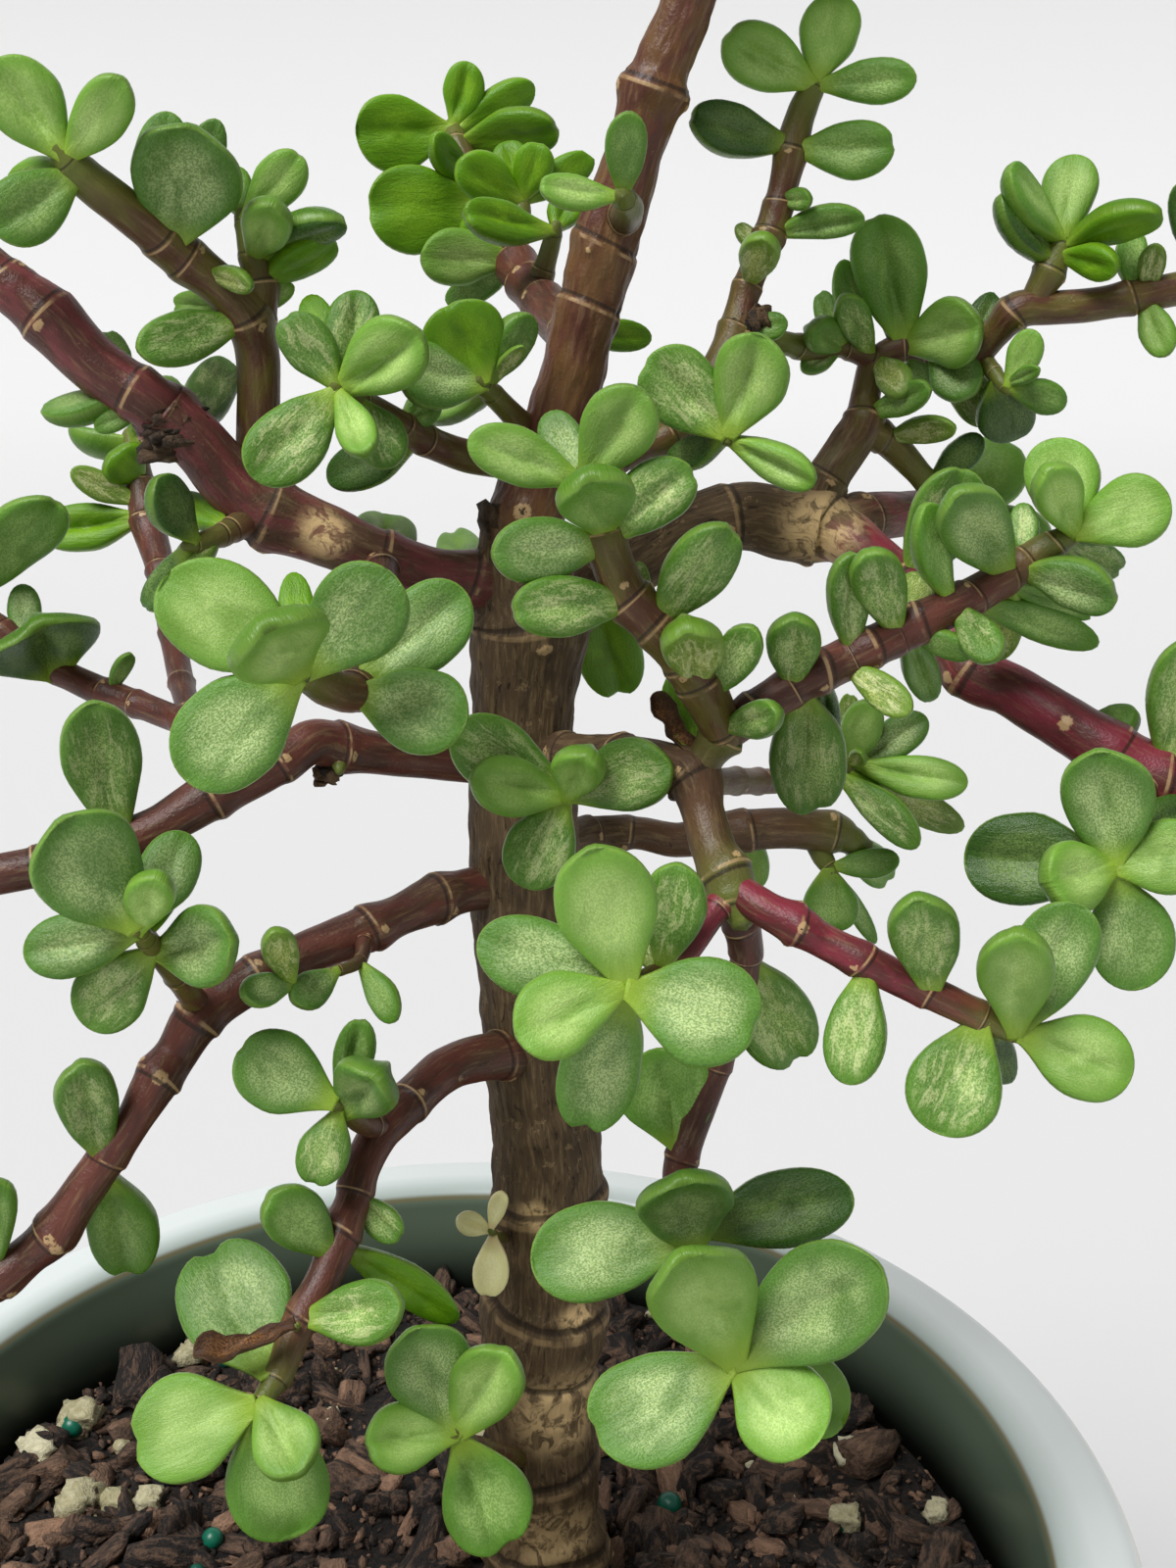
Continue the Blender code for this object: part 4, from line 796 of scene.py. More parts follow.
def half_width(along: float) -> float:
    """An obovate leaf's half width over its whole width: narrow at the base, round at the tip.

    Args:
        along: The place along the blade, from 0 at the root to 1 at the tip.

    Returns:
        The share of the width.
    """
    if along > LEAF_WIDEST:
        reach = (along - LEAF_WIDEST) / (1 - LEAF_WIDEST)
        return 0.5 * math.sqrt(max(0, 1 - reach**2.3))
    rise = math.sin(math.pi / 2 * along / LEAF_WIDEST) ** 1.35
    return 0.5 * (PETIOLE + (1 - PETIOLE) * rise)


@dataclass
class Leaf:
    """A blade's place: where it leaves its stem, its tip, its facing, its greatest width and its look."""

    root: Vector
    tip: Vector
    facing: Vector
    width: float
    look: Look = Look.MID

    def at(self, along: float, aside: float) -> Vector:
        """A point of the blade's middle surface.

        Args:
            along: 0 at the root to 1 at the tip.
            aside: -1 to 1 from margin to margin.

        Returns:
            The point, in metres.
        """
        line = self.tip - self.root
        length = line.length
        side = line.normalized().cross(self.facing)
        reach = aside * half_width(along) * self.width
        lift = LEAF_BOW * length * 4 * along * (1 - along) - LEAF_CUP * self.width * aside * aside
        return self.root + line * along + side * reach - self.facing * lift

    def samples(self) -> list[Vector]:
        """Points spread over the blade, without its foot, which sits in the stem."""
        return [self.at(i / 6, j / 2) for i in range(2, 7) for j in (-2, -1, 0, 1, 2)]


@dataclass
class Foliage:
    """Every limb's leaves, each swung as little as it takes to stand clear of the other limbs."""

    limbs: Sequence[Limb]
    blades: dict[str, list[Leaf]] = field(default_factory=dict)

    def listed(self, limb: Limb, row: Row, swing: float) -> Leaf:
        """A leaf of a limb's list.

        Args:
            limb: The limb it grows on.
            row: Its row in the list.
            swing: How far its tip swings towards the viewer, in metres.

        Returns:
            The leaf.
        """
        base_u, base_v, tip_u, tip_v, width, lean, turn = row
        root, _, front = limb.nearest(base_u, base_v)
        tip = VIEW.sight(tip_u, tip_v, front + lean + swing / MM)
        line = (tip - root).normalized()
        facing = across(Vector(VIEW.point) - (root + tip) / 2, line)
        facing.rotate(Matrix.Rotation(math.radians(turn), 3, line))
        return Leaf(root, tip, facing, VIEW.seen_size(width, (root + tip) / 2))

    def pair(self, limb: Limb, tuft: Row, swing: float) -> list[Leaf]:
        """An opposite pair of leaves, spread from the stem and turned about it.

        Args:
            limb: The limb they grow on.
            tuft: Their row in its list.
            swing: How far they swing along the stem, in metres.

        Returns:
            The two leaves.
        """
        u, v, size, turn = tuft
        root, direction, _ = limb.nearest(u, v)
        upright = across(Vector((0, 0, 1)) if abs(direction.z) < 0.9 else Vector((0, 1, 0)), direction)
        upright.rotate(Matrix.Rotation(math.radians(turn), 3, direction))
        made = []
        for sideways in (upright, -upright):
            line = direction * math.cos(TUFT_SPREAD + swing / TUFT_LENGTH) + sideways * math.sin(TUFT_SPREAD)
            tip = root + line.normalized() * TUFT_LENGTH * size
            made.append(Leaf(root, tip, across(direction, line.normalized()), TUFT_WIDTH * size))
        return made

    @staticmethod
    def gap_to_stem(point: Vector, a: Disc, b: Disc) -> float:
        """How far a point is outside the round stretch of stem between two (centre, radius) points.

        Args:
            point: The point.
            a: The stretch's first (centre, radius).
            b: Its second.

        Returns:
            The distance in metres, which is negative inside.
        """
        line = b[0] - a[0]
        along = min(max((point - a[0]).dot(line) / line.length_squared, 0), 1)
        return (point - a[0] - line * along).length - (a[1] + (b[1] - a[1]) * along)

    def crowding(self, points: list[Vector], others: list, stretches: list) -> float:
        """How deep a blade's points are in the room of others' blades and stems.

        Args:
            points: The blade's points.
            others: The other blades, as (middle, reach, points).
            stretches: The other stems, as pairs of (centre, radius).

        Returns:
            The depth in metres, where 0 is clear.
        """
        worst = 0
        middle = sum(points, Vector()) / len(points)
        reach = max((point - middle).length for point in points)
        for centre, radius, cloud in others:
            if (centre - middle).length < reach + radius + CLEAR_LEAF:
                worst = max(worst, CLEAR_LEAF - min((p - q).length for p in points for q in cloud))
        for a, b in stretches:
            away = min((a[0] - middle).length, (b[0] - middle).length)
            if away < reach + (b[0] - a[0]).length + CLEAR_LEAF + a[1]:
                worst = max(worst, CLEAR_STEM - min(self.gap_to_stem(point, a, b) for point in points))
        return worst

    def settle(self) -> None:
        """Places all the leaves, limb by limb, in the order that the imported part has."""
        stretches = {}
        for limb in self.limbs:
            stretches[limb.name] = [pair for route in limb.routes() for pair in zip(route, route[1:])]
        placed: dict[str, list] = {limb.name: [] for limb in self.limbs}
        swings = sorted((step * SWING_STEP for step in range(-SWINGS, SWINGS + 1)), key=abs)
        for limb in self.limbs:
            self.blades[limb.name] = []
            others = [cloud for name in placed if name != limb.name for cloud in placed[name]]
            stems = [pair for name in stretches if name != limb.name for pair in stretches[name]]
            makers = [lambda swing, row=row: [self.listed(limb, row, swing)] for row in limb.leaves]
            makers += [lambda swing, row=row: self.pair(limb, row, swing) for row in limb.tufts]
            for number, make in enumerate(makers):
                best = None
                for swing in swings:
                    group = make(swing)
                    crowd = sum(self.crowding(leaf.samples(), others, stems) for leaf in group)
                    if best is None or crowd < best[0]:
                        best = (crowd, group)
                    if crowd <= 0:
                        break
                for leaf in best[1]:
                    cloud = leaf.samples()
                    middle = sum(cloud, Vector()) / len(cloud)
                    placed[limb.name].append((middle, max((p - middle).length for p in cloud), cloud))
                    listed = number < len(limb.looks)
                    leaf.look = Look(limb.looks[number] if listed else UNLISTED_LOOKS[number % 3])
                    self.blades[limb.name].append(leaf)


@dataclass
class Draft:
    """A mesh in the making: points, faces, each face's finish and numbers that its points carry.

    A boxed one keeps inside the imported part's box. waves are the (depth, scale) of a lump's roughness.
    """

    points: list[Vector] = field(default_factory=list)
    faces: list[tuple[int, ...]] = field(default_factory=list)
    finish: list[int] = field(default_factory=list)
    numbers: dict[str, list[float]] = field(default_factory=dict)
    vectors: dict[str, list[Row]] = field(default_factory=dict)
    boxed: bool = True
    waves: tuple[Row, ...] = ((0.55, 1.1), (0.4, 2.9))
    blocky: float = 0.62

    def point(self, place: Vector, numbers: dict[str, float], vectors: dict[str, Row] | None = None) -> int:
        """Adds a point.

        Args:
            place: Where it is.
            numbers: What it carries under each name.
            vectors: The vectors it carries under each name.

        Returns:
            Its index.
        """
        inside = [min(max(c, low), high) for c, low, high in zip(place, *CAD_BOX)]
        self.points.append(Vector(inside) if self.boxed else place)
        for name, value in numbers.items():
            self.numbers.setdefault(name, []).append(value)
        for name, value in (vectors or {}).items():
            self.vectors.setdefault(name, []).append(value)
        return len(self.points) - 1

    def face(self, corners: tuple[int, ...], finish: int = 0) -> None:
        """Adds a face of one finish."""
        self.faces.append(corners)
        self.finish.append(finish)

    def strip(self, low: list[int], high: list[int], finish: int = 0) -> None:
        """Joins two loops of as many points with a ring of faces.

        Args:
            low: The first loop's points.
            high: The second's.
            finish: Which finish the faces have.
        """
        for k in range(len(low)):
            nxt = (k + 1) % len(low)
            self.face((low[k], low[nxt], high[nxt], high[k]), finish)

    def fan(self, loop: list[int], tip: int, finish: int = 0) -> None:
        """Closes a loop onto one point."""
        for k in range(len(loop)):
            self.face((loop[k], loop[(k + 1) % len(loop)], tip), finish)

    def build(self, name: str, materials: Sequence[bpy.types.Material]) -> bpy.types.Object:
        """Makes the object, smooth shaded.

        Args:
            name: Its name.
            materials: Its finishes, in the order that the faces count them.

        Returns:
            The new object.
        """
        mesh = bpy.data.meshes.new(name)
        mesh.from_pydata(self.points, [], self.faces)
        for material in materials:
            mesh.materials.append(material)
        mesh.polygons.foreach_set("material_index", self.finish)
        for key, values in self.numbers.items():
            mesh.attributes.new(key, "FLOAT", "POINT").data.foreach_set("value", values)
        for key, rows in self.vectors.items():
            flat = [number for row in rows for number in row]
            mesh.attributes.new(key, "FLOAT_VECTOR", "POINT").data.foreach_set("vector", flat)
        mesh.update()
        mesh.shade_smooth()
        made = bpy.data.objects.new(name, mesh)
        bpy.context.scene.collection.objects.link(made)
        return made

    def lump(
        self, spot: Vector, size: Row, turn: Matrix, rng: random.Random, fine: int, finish: int = 0
    ) -> None:
        """Adds an irregular, blocky lump.

        Args:
            spot: Its middle.
            size: Its half lengths.
            turn: How it lies.
            rng: The draw that gives it its own shape.
            fine: How finely it is faced.
            finish: Which finish its faces have.
        """
        shape = bmesh.new()
        bmesh.ops.create_icosphere(shape, subdivisions=fine, radius=1)
        shift = Vector((rng.uniform(-50, 50), rng.uniform(-50, 50), 0))
        tone = rng.random()
        spots = []
        for vertex in shape.verts:
            rough = 1 + sum(depth * noise.noise(vertex.co * scale + shift) for depth, scale in self.waves)
            bent = [math.copysign(abs(c) ** self.blocky, c) * rough * s for c, s in zip(vertex.co, size)]
            spots.append((spot + turn @ Vector(bent), Vector(bent) / MM + shift))
        self.absorb(shape, spots, tone, finish)

    def absorb(
        self, shape: bmesh.types.BMesh, spots: list[tuple[Vector, Vector]], tone: float, finish: int = 0
    ) -> None:
        """Adds a bmesh's faces, with its points moved, and frees it.

        Args:
            shape: The bmesh.
            spots: Each point's place and its place along the grain.
            tone: How light the whole lump is, 0 to 1.
            finish: Which finish its faces have.
        """
        start = len(self.points)
        for place, grain in spots:
            self.point(place, {"tone": tone}, {"grain": grain})
        for face in shape.faces:
            self.face(tuple(start + vertex.index for vertex in face.verts), finish)
        shape.free()

    def ball(self, spot: Vector, radius: float, tone: float) -> None:
        """Adds a round grain.

        Args:
            spot: Its middle.
            radius: Its radius.
            tone: How light it is, 0 to 1.
        """
        shape = bmesh.new()
        move = Matrix.Translation(spot)
        bmesh.ops.create_uvsphere(shape, u_segments=16, v_segments=10, radius=radius, matrix=move)
        self.absorb(shape, [(vertex.co.copy(), vertex.co / MM) for vertex in shape.verts], tone)


@dataclass
class BladeMaker:
    """Makes fine, fleshy leaves with rounded margins, a soft crease and a few dents.

    levels are the skin's loops, from near its middle (a share of the length) out to the margin. roundness is
    the exponent of its section. Shares of the width: ripple, crease, skew, and plump, the most that a leaf is
    thick. bean is how much thicker the narrowest leaves are than the broad ones.
    """

    thickness: float = 2.35 * MM
    roundness: float = 2.6
    outline: int = 44
    small_outline: int = 28
    levels: tuple[float, ...] = (0.22, 0.42, 0.6, 0.74, 0.85, 0.925, 0.975)
    middle: float = 0.56
    ripple: float = 0.03
    crease: float = 0.16
    valley: float = 0.22
    dent: float = 0.5 * MM
    dent_grid: tuple[float, float] = (4.2 * MM, 5.5 * MM)
    dent_full: float = 9 * MM
    notch: float = 0.03
    notched: float = 0.35
    notch_width: float = 0.09
    skew: float = 0.06
    small: float = 4.5 * MM
    plump: float = 0.56
    bean: float = 1.3 * MM
    broad: float = 12 * MM
    crumple: float = 1.5 * MM

    def stations(self, count: int) -> list[tuple[float, float]]:
        """The outline's points, as (along, side), from the root up one side and down the other.

        Args:
            count: How many points the outline has.

        Returns:
            The points, where a side is 1 or -1.
        """
        half = count // 2
        up = [(0.5 - 0.5 * math.cos(math.pi * (i + 0.5) / half), 1.0) for i in range(half)]
        return up + [(along, -1.0) for along, _ in reversed(up)]

    def margin(self, leaf: Leaf, rng: random.Random) -> list[tuple[float, float]]:
        """A leaf's outline, with its own waves and notch.

        Args:
            leaf: The leaf.
            rng: Its own draw.

        Returns:
            Its points, as (along, aside in metres).
        """
        phases = [rng.uniform(0, math.tau) for _ in range(4)]
        skew = rng.uniform(-self.skew, self.skew)
        notch, notch_at = self.notch * (rng.random() < self.notched), rng.uniform(-0.5, 0.5)
        points = []
        for along, hand in self.stations(self.outline if leaf.width > self.small else self.small_outline):
            wave = math.sin(5 * along + phases[0]) + 0.7 * hand * math.sin(8 * along + phases[1])
            wave += 0.4 * math.sin(17 * along + phases[2] + hand)
            rippled = 1 + self.ripple * wave * math.sin(math.pi * min(1, along * 1.3))
            aside = hand * half_width(along) * rippled
            dip = notch * math.exp(-(((aside - notch_at * 0.3) / self.notch_width) ** 2)) * (along > 0.8)
            points.append((along - dip, (aside + skew * math.sin(math.pi * along)) * leaf.width))
        return points

    def add(self, draft: Draft, leaf: Leaf, seed: int) -> None:
        """Adds a leaf to a draft.

        Args:
            draft: The mesh in the making.
            leaf: The leaf's place and look.
            seed: A number of its own, for its ripples and speckles.
        """
        rng = random.Random(seed)
        outline = self.margin(leaf, rng)
        tone = rng.random()
        finish = LOOK_ORDER.index(leaf.look)
        margin = [self.place(draft, leaf, (along, aside, 1, 0), seed, tone) for along, aside in outline]
        for face in (1, -1):
            loop = margin
            for level in reversed(self.levels):
                spots = [
                    (self.middle + (along - self.middle) * level, aside * level, level, face)
                    for along, aside in outline
                ]
                inner = [self.place(draft, leaf, spot, seed, tone) for spot in spots]
                draft.strip(*((loop, inner) if face > 0 else (inner, loop)), finish)
                loop = inner
            heart = self.place(draft, leaf, (self.middle, 0, 0, face), seed, tone)
            draft.fan(loop if face > 0 else loop[::-1], heart, finish)

    def place(self, draft: Draft, leaf: Leaf, spot: Row, seed: int, tone: float) -> int:
        """Adds one point of a leaf's skin.

        Args:
            draft: The mesh in the making.
            leaf: The leaf.
            spot: The point's (along, aside, level, face): level is 0 in the middle and 1 at the margin.
            seed: The leaf's own number.
            tone: How light the leaf is, 0 to 1.

        Returns:
            The point's index.
        """
        along, aside, level, face = spot
        line = leaf.tip - leaf.root
        length = line.length
        side = line.normalized().cross(leaf.facing)
        kept = min(max(along, 0), 1)
        reach = aside / max(half_width(kept) * leaf.width, 1e-6)
        most = self.thickness + self.bean * max(0, 1 - leaf.width / self.broad)
        thick = min(most, self.plump * leaf.width)
        shift = Vector((seed * 1.7, seed * 0.3, seed * 2.9))
        across_grid, along_grid = self.dent_grid
        grid = Vector((aside / across_grid, along * length / along_grid, 0)) + shift
        fold = noise.noise(shift + Vector((0.5, 0.5, 0.5)))
        lift = LEAF_BOW * length * 4 * along * (1 - along) - LEAF_CUP * leaf.width * min(1, reach * reach)
        valley = math.exp(-((reach / self.valley) ** 2)) * math.sin(math.pi * kept)
        lift += self.crease * leaf.width * valley * max(0, 2.6 * abs(fold) - 0.1)
        lift += self.dent * noise.noise(grid) * min(1, leaf.width / self.dent_full) * min(1, kept * 2.5)
        if leaf.look is Look.WITHERED:
            thick *= 0.35
            aside *= 0.75 + 0.25 * math.sin(along * 9)
            lift += self.crumple * (noise.noise(grid * 1.6) + 0.6 * noise.noise(grid * 4)) - 0.9 * abs(aside)
        body = thick / 2 * (max(0, 1 - level**self.roundness)) ** (1 / self.roundness) * face
        body *= 1 + 0.18 * math.sin(math.pi * kept)
        place = leaf.root + line * along + side * aside + leaf.facing * (body - lift)
        numbers = {"rim": level, "along": along, "upper": float(face > 0), "seed": tone}
        return draft.point(place, numbers, {"blade": (aside / MM, along * length / MM, seed * 7.31 % 97)})


@dataclass
class StemMaker:
    """Makes fine stems with swollen nodes, rings and wrinkles.

    Shares of the radius: spacing (of nodes, twice over), swell, groove, wrinkle, scar_rise, leaf_room,
    bare_room, slants (of the rings), near and far (from a node). unmarked is what skin with no scar carries.
    """

    sides: int = 24
    step: float = 0.4 * MM
    spacing: float = 2.6
    swell: float = 0.12
    groove: float = 0.07
    wrinkle: float = 0.03
    bark: float = 0.0
    scar_rise: float = 0.08
    scar_size: float = 0.22
    fill: bool = True
    scar_most: float = 0.75 * MM
    soft: float = 6 * MM
    bulge: float = 1.04
    leaf_room: float = 1.2
    bare_room: float = 2.4
    slants: tuple[float, float] = (0.02, 0.22)
    lip: float = 0.35 * MM
    apart: float = 3.7
    near: float = 0.45
    far: float = 1.8
    unmarked: float = 3.0

    def route(self, points: list[Disc]) -> list[Disc]:
        """Closely spaced (centre, radius) points on a smooth curve through the given ones.

        Args:
            points: The stem's (centre, radius) points.

        Returns:
            The points of the curve.
        """
        before = (points[0][0] * 2 - points[1][0], points[0][1])
        after = (points[-1][0] * 2 - points[-2][0], points[-1][1])
        ends = [before, *points, after]
        made = []
        for a, b, c, d in zip(ends, ends[1:], ends[2:], ends[3:]):
            count = max(2, round((c[0] - b[0]).length / self.step))
            for t in (k / count for k in range(count)):
                weights = (
                    (-t + 2 * t**2 - t**3) / 2,
                    (2 - 5 * t**2 + 3 * t**3) / 2,
                    (t + 4 * t**2 - 3 * t**3) / 2,
                    (t**3 - t**2) / 2,
                )
                centre = sum((p[0] * w for p, w in zip((a, b, c, d), weights)), Vector())
                made.append((centre, b[1] + (c[1] - b[1]) * (3 * t**2 - 2 * t**3)))
        made.append(points[-1])
        return made

    def nodes(self, points: list[Disc], roots: list[Vector], rng: random.Random) -> list[Row]:
        """Where a stem's nodes are: at its leaves, where it bulges, and at a regular spacing between.

        Args:
            points: The stem's (centre, radius) points.
            roots: Where its leaves grow.
            rng: The stem's own draw.

        Returns:
            The nodes, as (reach, slant's bearing, slant, scars' bearing, whether it shows scars).
        """
        reach = [0.0]
        for a, b in zip(points, points[1:]):
            reach.append(reach[-1] + (b[0] - a[0]).length)
        found: list[tuple[float, bool]] = []
        for i in range(1, len(points) - 1):
            if points[i][1] >= points[i - 1][1] and points[i][1] > points[i + 1][1] * self.bulge:
                found.append((reach[i], True))
        for root in roots:
            for i, (a, b) in enumerate(zip(points, points[1:])):
                line = b[0] - a[0]
                along = (root - a[0]).dot(line) / line.length_squared
                at = reach[i] + along * line.length
                if 0 <= along <= 1 and (root - a[0] - line * along).length < a[1] / 2:
                    if self.clear(found, at, a[1] * self.leaf_room):
                        found.append((at, False))
        at = points[0][1] * 2
        while self.fill and at < reach[-1]:
            radius = next((p[1] for p, r in zip(points, reach) if r >= at), points[-1][1])
            if self.clear(found, at, radius * self.bare_room):
                found.append((at, True))
            at += radius * self.spacing * 2 * rng.uniform(0.85, 1.3)
        return [
            (node, rng.uniform(0, math.tau), rng.uniform(*self.slants), rng.uniform(0, math.pi), float(bare))
            for node, bare in sorted(found)
        ]

    def youth(self, reach: float, length: float, radius: float) -> dict[str, float]:
        """How thick, old and tender a stem is at a place.

        Args:
            reach: How far along the stem the place is.
            length: The stem's length.
            radius: The stem's radius there.

        Returns:
            The numbers that its points carry for the finish.
        """
        tender = math.exp(-((max(0, length - reach) / self.soft) ** 2))
        return {"girth": radius / MM, "age": 1 - reach / length, "tender": tender}

    def add(self, draft: Draft, limb: Limb, points: list[Disc], roots: list[Vector], seed: int) -> None:
        """Adds a stem to a draft.

        Args:
            draft: The mesh in the making.
            limb: The limb that it is part of.
            points: The stem's (centre, radius) points.
            roots: Where its leaves grow.
            seed: A number of its own, for its nodes and wrinkles.
        """
        route = self.route(points)
        nodes = self.nodes(points, roots, random.Random(seed))
        scars, dry = limb.spots(limb.scars), limb.spots(limb.dry)
        length = sum((b[0] - a[0]).length for a, b in zip(route, route[1:]))
        reach = 0.0
        normal = across(Vector((0.3, -0.8, 0.5)), (route[1][0] - route[0][0]).normalized())
        shift = Vector((seed, seed * 0.37, 0))
        loops = []
        for index, (centre, radius) in enumerate(route):
            before, after = route[max(index - 1, 0)][0], route[min(index + 1, len(route) - 1)][0]
            direction = (after - before).normalized()
            normal = across(normal, direction)
            aside = direction.cross(normal)
            if index:
                reach += (centre - before).length
            facing = (Vector(VIEW.point) - centre).normalized() * radius
            near, pale = (
                [(spot + facing, size) for spot, size in spots if (spot - centre).length < size + 2 * radius]
                for spots in (scars, dry)
            )
            loop = []
            for turn in (math.tau * k / self.sides for k in range(self.sides)):
                outward = normal * math.cos(turn) + aside * math.sin(turn)
                rise, node, scar = self.around(reach, radius, turn, nodes)
                scale = radius / MM
                around = (scale * math.cos(turn), scale * math.sin(turn), reach / MM + seed * self.apart)
                skin = centre + outward * radius
                for spot, size in near:
                    off = (skin - spot).length / size * 2
                    rise += self.lip / radius * math.exp(-((off - 0.7) ** 2) * 3)
                    scar = min(scar, off)
                bare = [math.exp(-(((skin - spot).length / size * 2) ** 4)) for spot, size in pale]
                numbers = {"node": node, "near": float(abs(node) < self.near), "scar": scar}
                numbers |= {"dry": max(bare, default=0.0), **self.youth(reach, length, radius)}
                grown = radius * (1 + rise) + self.roughness(around, shift, radius)
                loop.append(draft.point(centre + outward * grown, numbers, {"bark": around}))
            loops.append(loop)
        for low, high in zip(loops, loops[1:]):
            draft.strip(low, high)
        for loop, (centre, radius), push in ((loops[0][::-1], route[0], 0), (loops[-1], route[-1], 0.5)):
            numbers = {"node": self.far, "near": 0.0, "scar": self.unmarked, "dry": 0.0}
            numbers |= self.youth(length * (push > 0), length, radius)
            bark = {"bark": (0, 0, seed * self.apart)}
            draft.fan(loop, draft.point(centre + direction * radius * push, numbers, bark))

    def around(
        self, reach: float, radius: float, turn: float, nodes: list[Row]
    ) -> tuple[float, float, float]:
        """How a stem's skin rises at its nodes.

        Args:
            reach: How far along the stem the point is, in metres.
            radius: The stem's radius there.
            turn: The point's bearing about the stem.
            nodes: The nodes.

        Returns:
            The rise, and how far the nearest node and leaf scar are, all as shares of the radius.
        """
        rise, nearest, scar = 0.0, self.far, self.unmarked
        size = min(self.scar_size, self.scar_most / radius)
        for node, tilt, slant, facing, bare in nodes:
            away = (reach - node) / radius - slant * math.cos(turn - tilt)
            if abs(away) < self.far:
                rise += self.swell * math.exp(-((away * (1.3 if away < 0 else 4.5)) ** 2))
                rise -= self.groove * math.exp(-(((away - 0.12) * 12) ** 2))
                nearest = min(nearest, away, key=abs)
                if bare:
                    off = math.hypot(math.asin(math.sin(turn - facing)), (away + 0.3) * 1.2) / size
                    rise += self.scar_rise * math.exp(-(off**2))
                    scar = min(scar, off)
        return rise, nearest, scar

    @staticmethod
    def clear(found: list[tuple[float, bool]], at: float, room: float) -> bool:
        """Whether a place on a stem is farther than some room from every node found so far."""
        return all(abs(at - node) > room for node, _ in found)

    def roughness(self, around: Row, shift: Vector, radius: float) -> float:
        """How far the bark stands out at a place, in metres.

        Args:
            around: The place on the stem's skin, in mm.
            shift: The stem's own place in the noise.
            radius: The stem's radius there.

        Returns:
            The rise, which is negative in a wrinkle.
        """
        coarse, fine, plate, swelling = (
            Vector([a * g for a, g in zip(around, grain)])
            for grain in ((0.45, 0.45, 0.16), (1.1, 1.1, 0.5), (0.9, 0.9, 0.2), (0.2, 0.2, 0.4))
        )
        rise = radius * self.wrinkle * (noise.noise(coarse + shift) + 0.5 * noise.noise(fine + shift))
        if self.bark:
            cracks = abs(noise.noise(plate + shift)) - 0.2 + 0.5 * noise.noise((plate + shift) * 2.6)
            rise += self.bark * (cracks + noise.noise(swelling))
        return rise


class Value:
    """A shader number or colour. Arithmetic on it adds Math nodes."""

    def __init__(self, graph: "Graph", socket: bpy.types.NodeSocket) -> None:
        """Wraps a socket of a graph."""
        self.graph = graph
        self.socket = socket

    def _math(self, operation: str, first: Any, second: Any) -> "Value":
        """A Math node on two values or numbers."""
        return self.graph.add("ShaderNodeMath", {"operation": operation}, {0: first, 1: second})

    def __add__(self, other: Any) -> "Value":
        """The sum."""
        return self._math("ADD", self, other)

    def __sub__(self, other: Any) -> "Value":
        """The difference."""
        return self._math("SUBTRACT", self, other)

    def __rsub__(self, other: Any) -> "Value":
        """The difference, the other way round."""
        return self._math("SUBTRACT", other, self)

    def __mul__(self, other: Any) -> "Value":
        """The product."""
        return self._math("MULTIPLY", self, other)

    def __pow__(self, power: Any) -> "Value":
        """The power."""
        return self._math("POWER", self, power)

    __radd__ = __add__
    __rmul__ = __mul__

    def between(self, low: float, high: float, start: float = 0, end: float = 1) -> "Value":
        """A smooth step from start at low to end at high."""
        inputs = {0: self, 1: low, 2: high, 3: start, 4: end}
        return self.graph.add("ShaderNodeMapRange", {"interpolation_type": "SMOOTHSTEP"}, inputs)


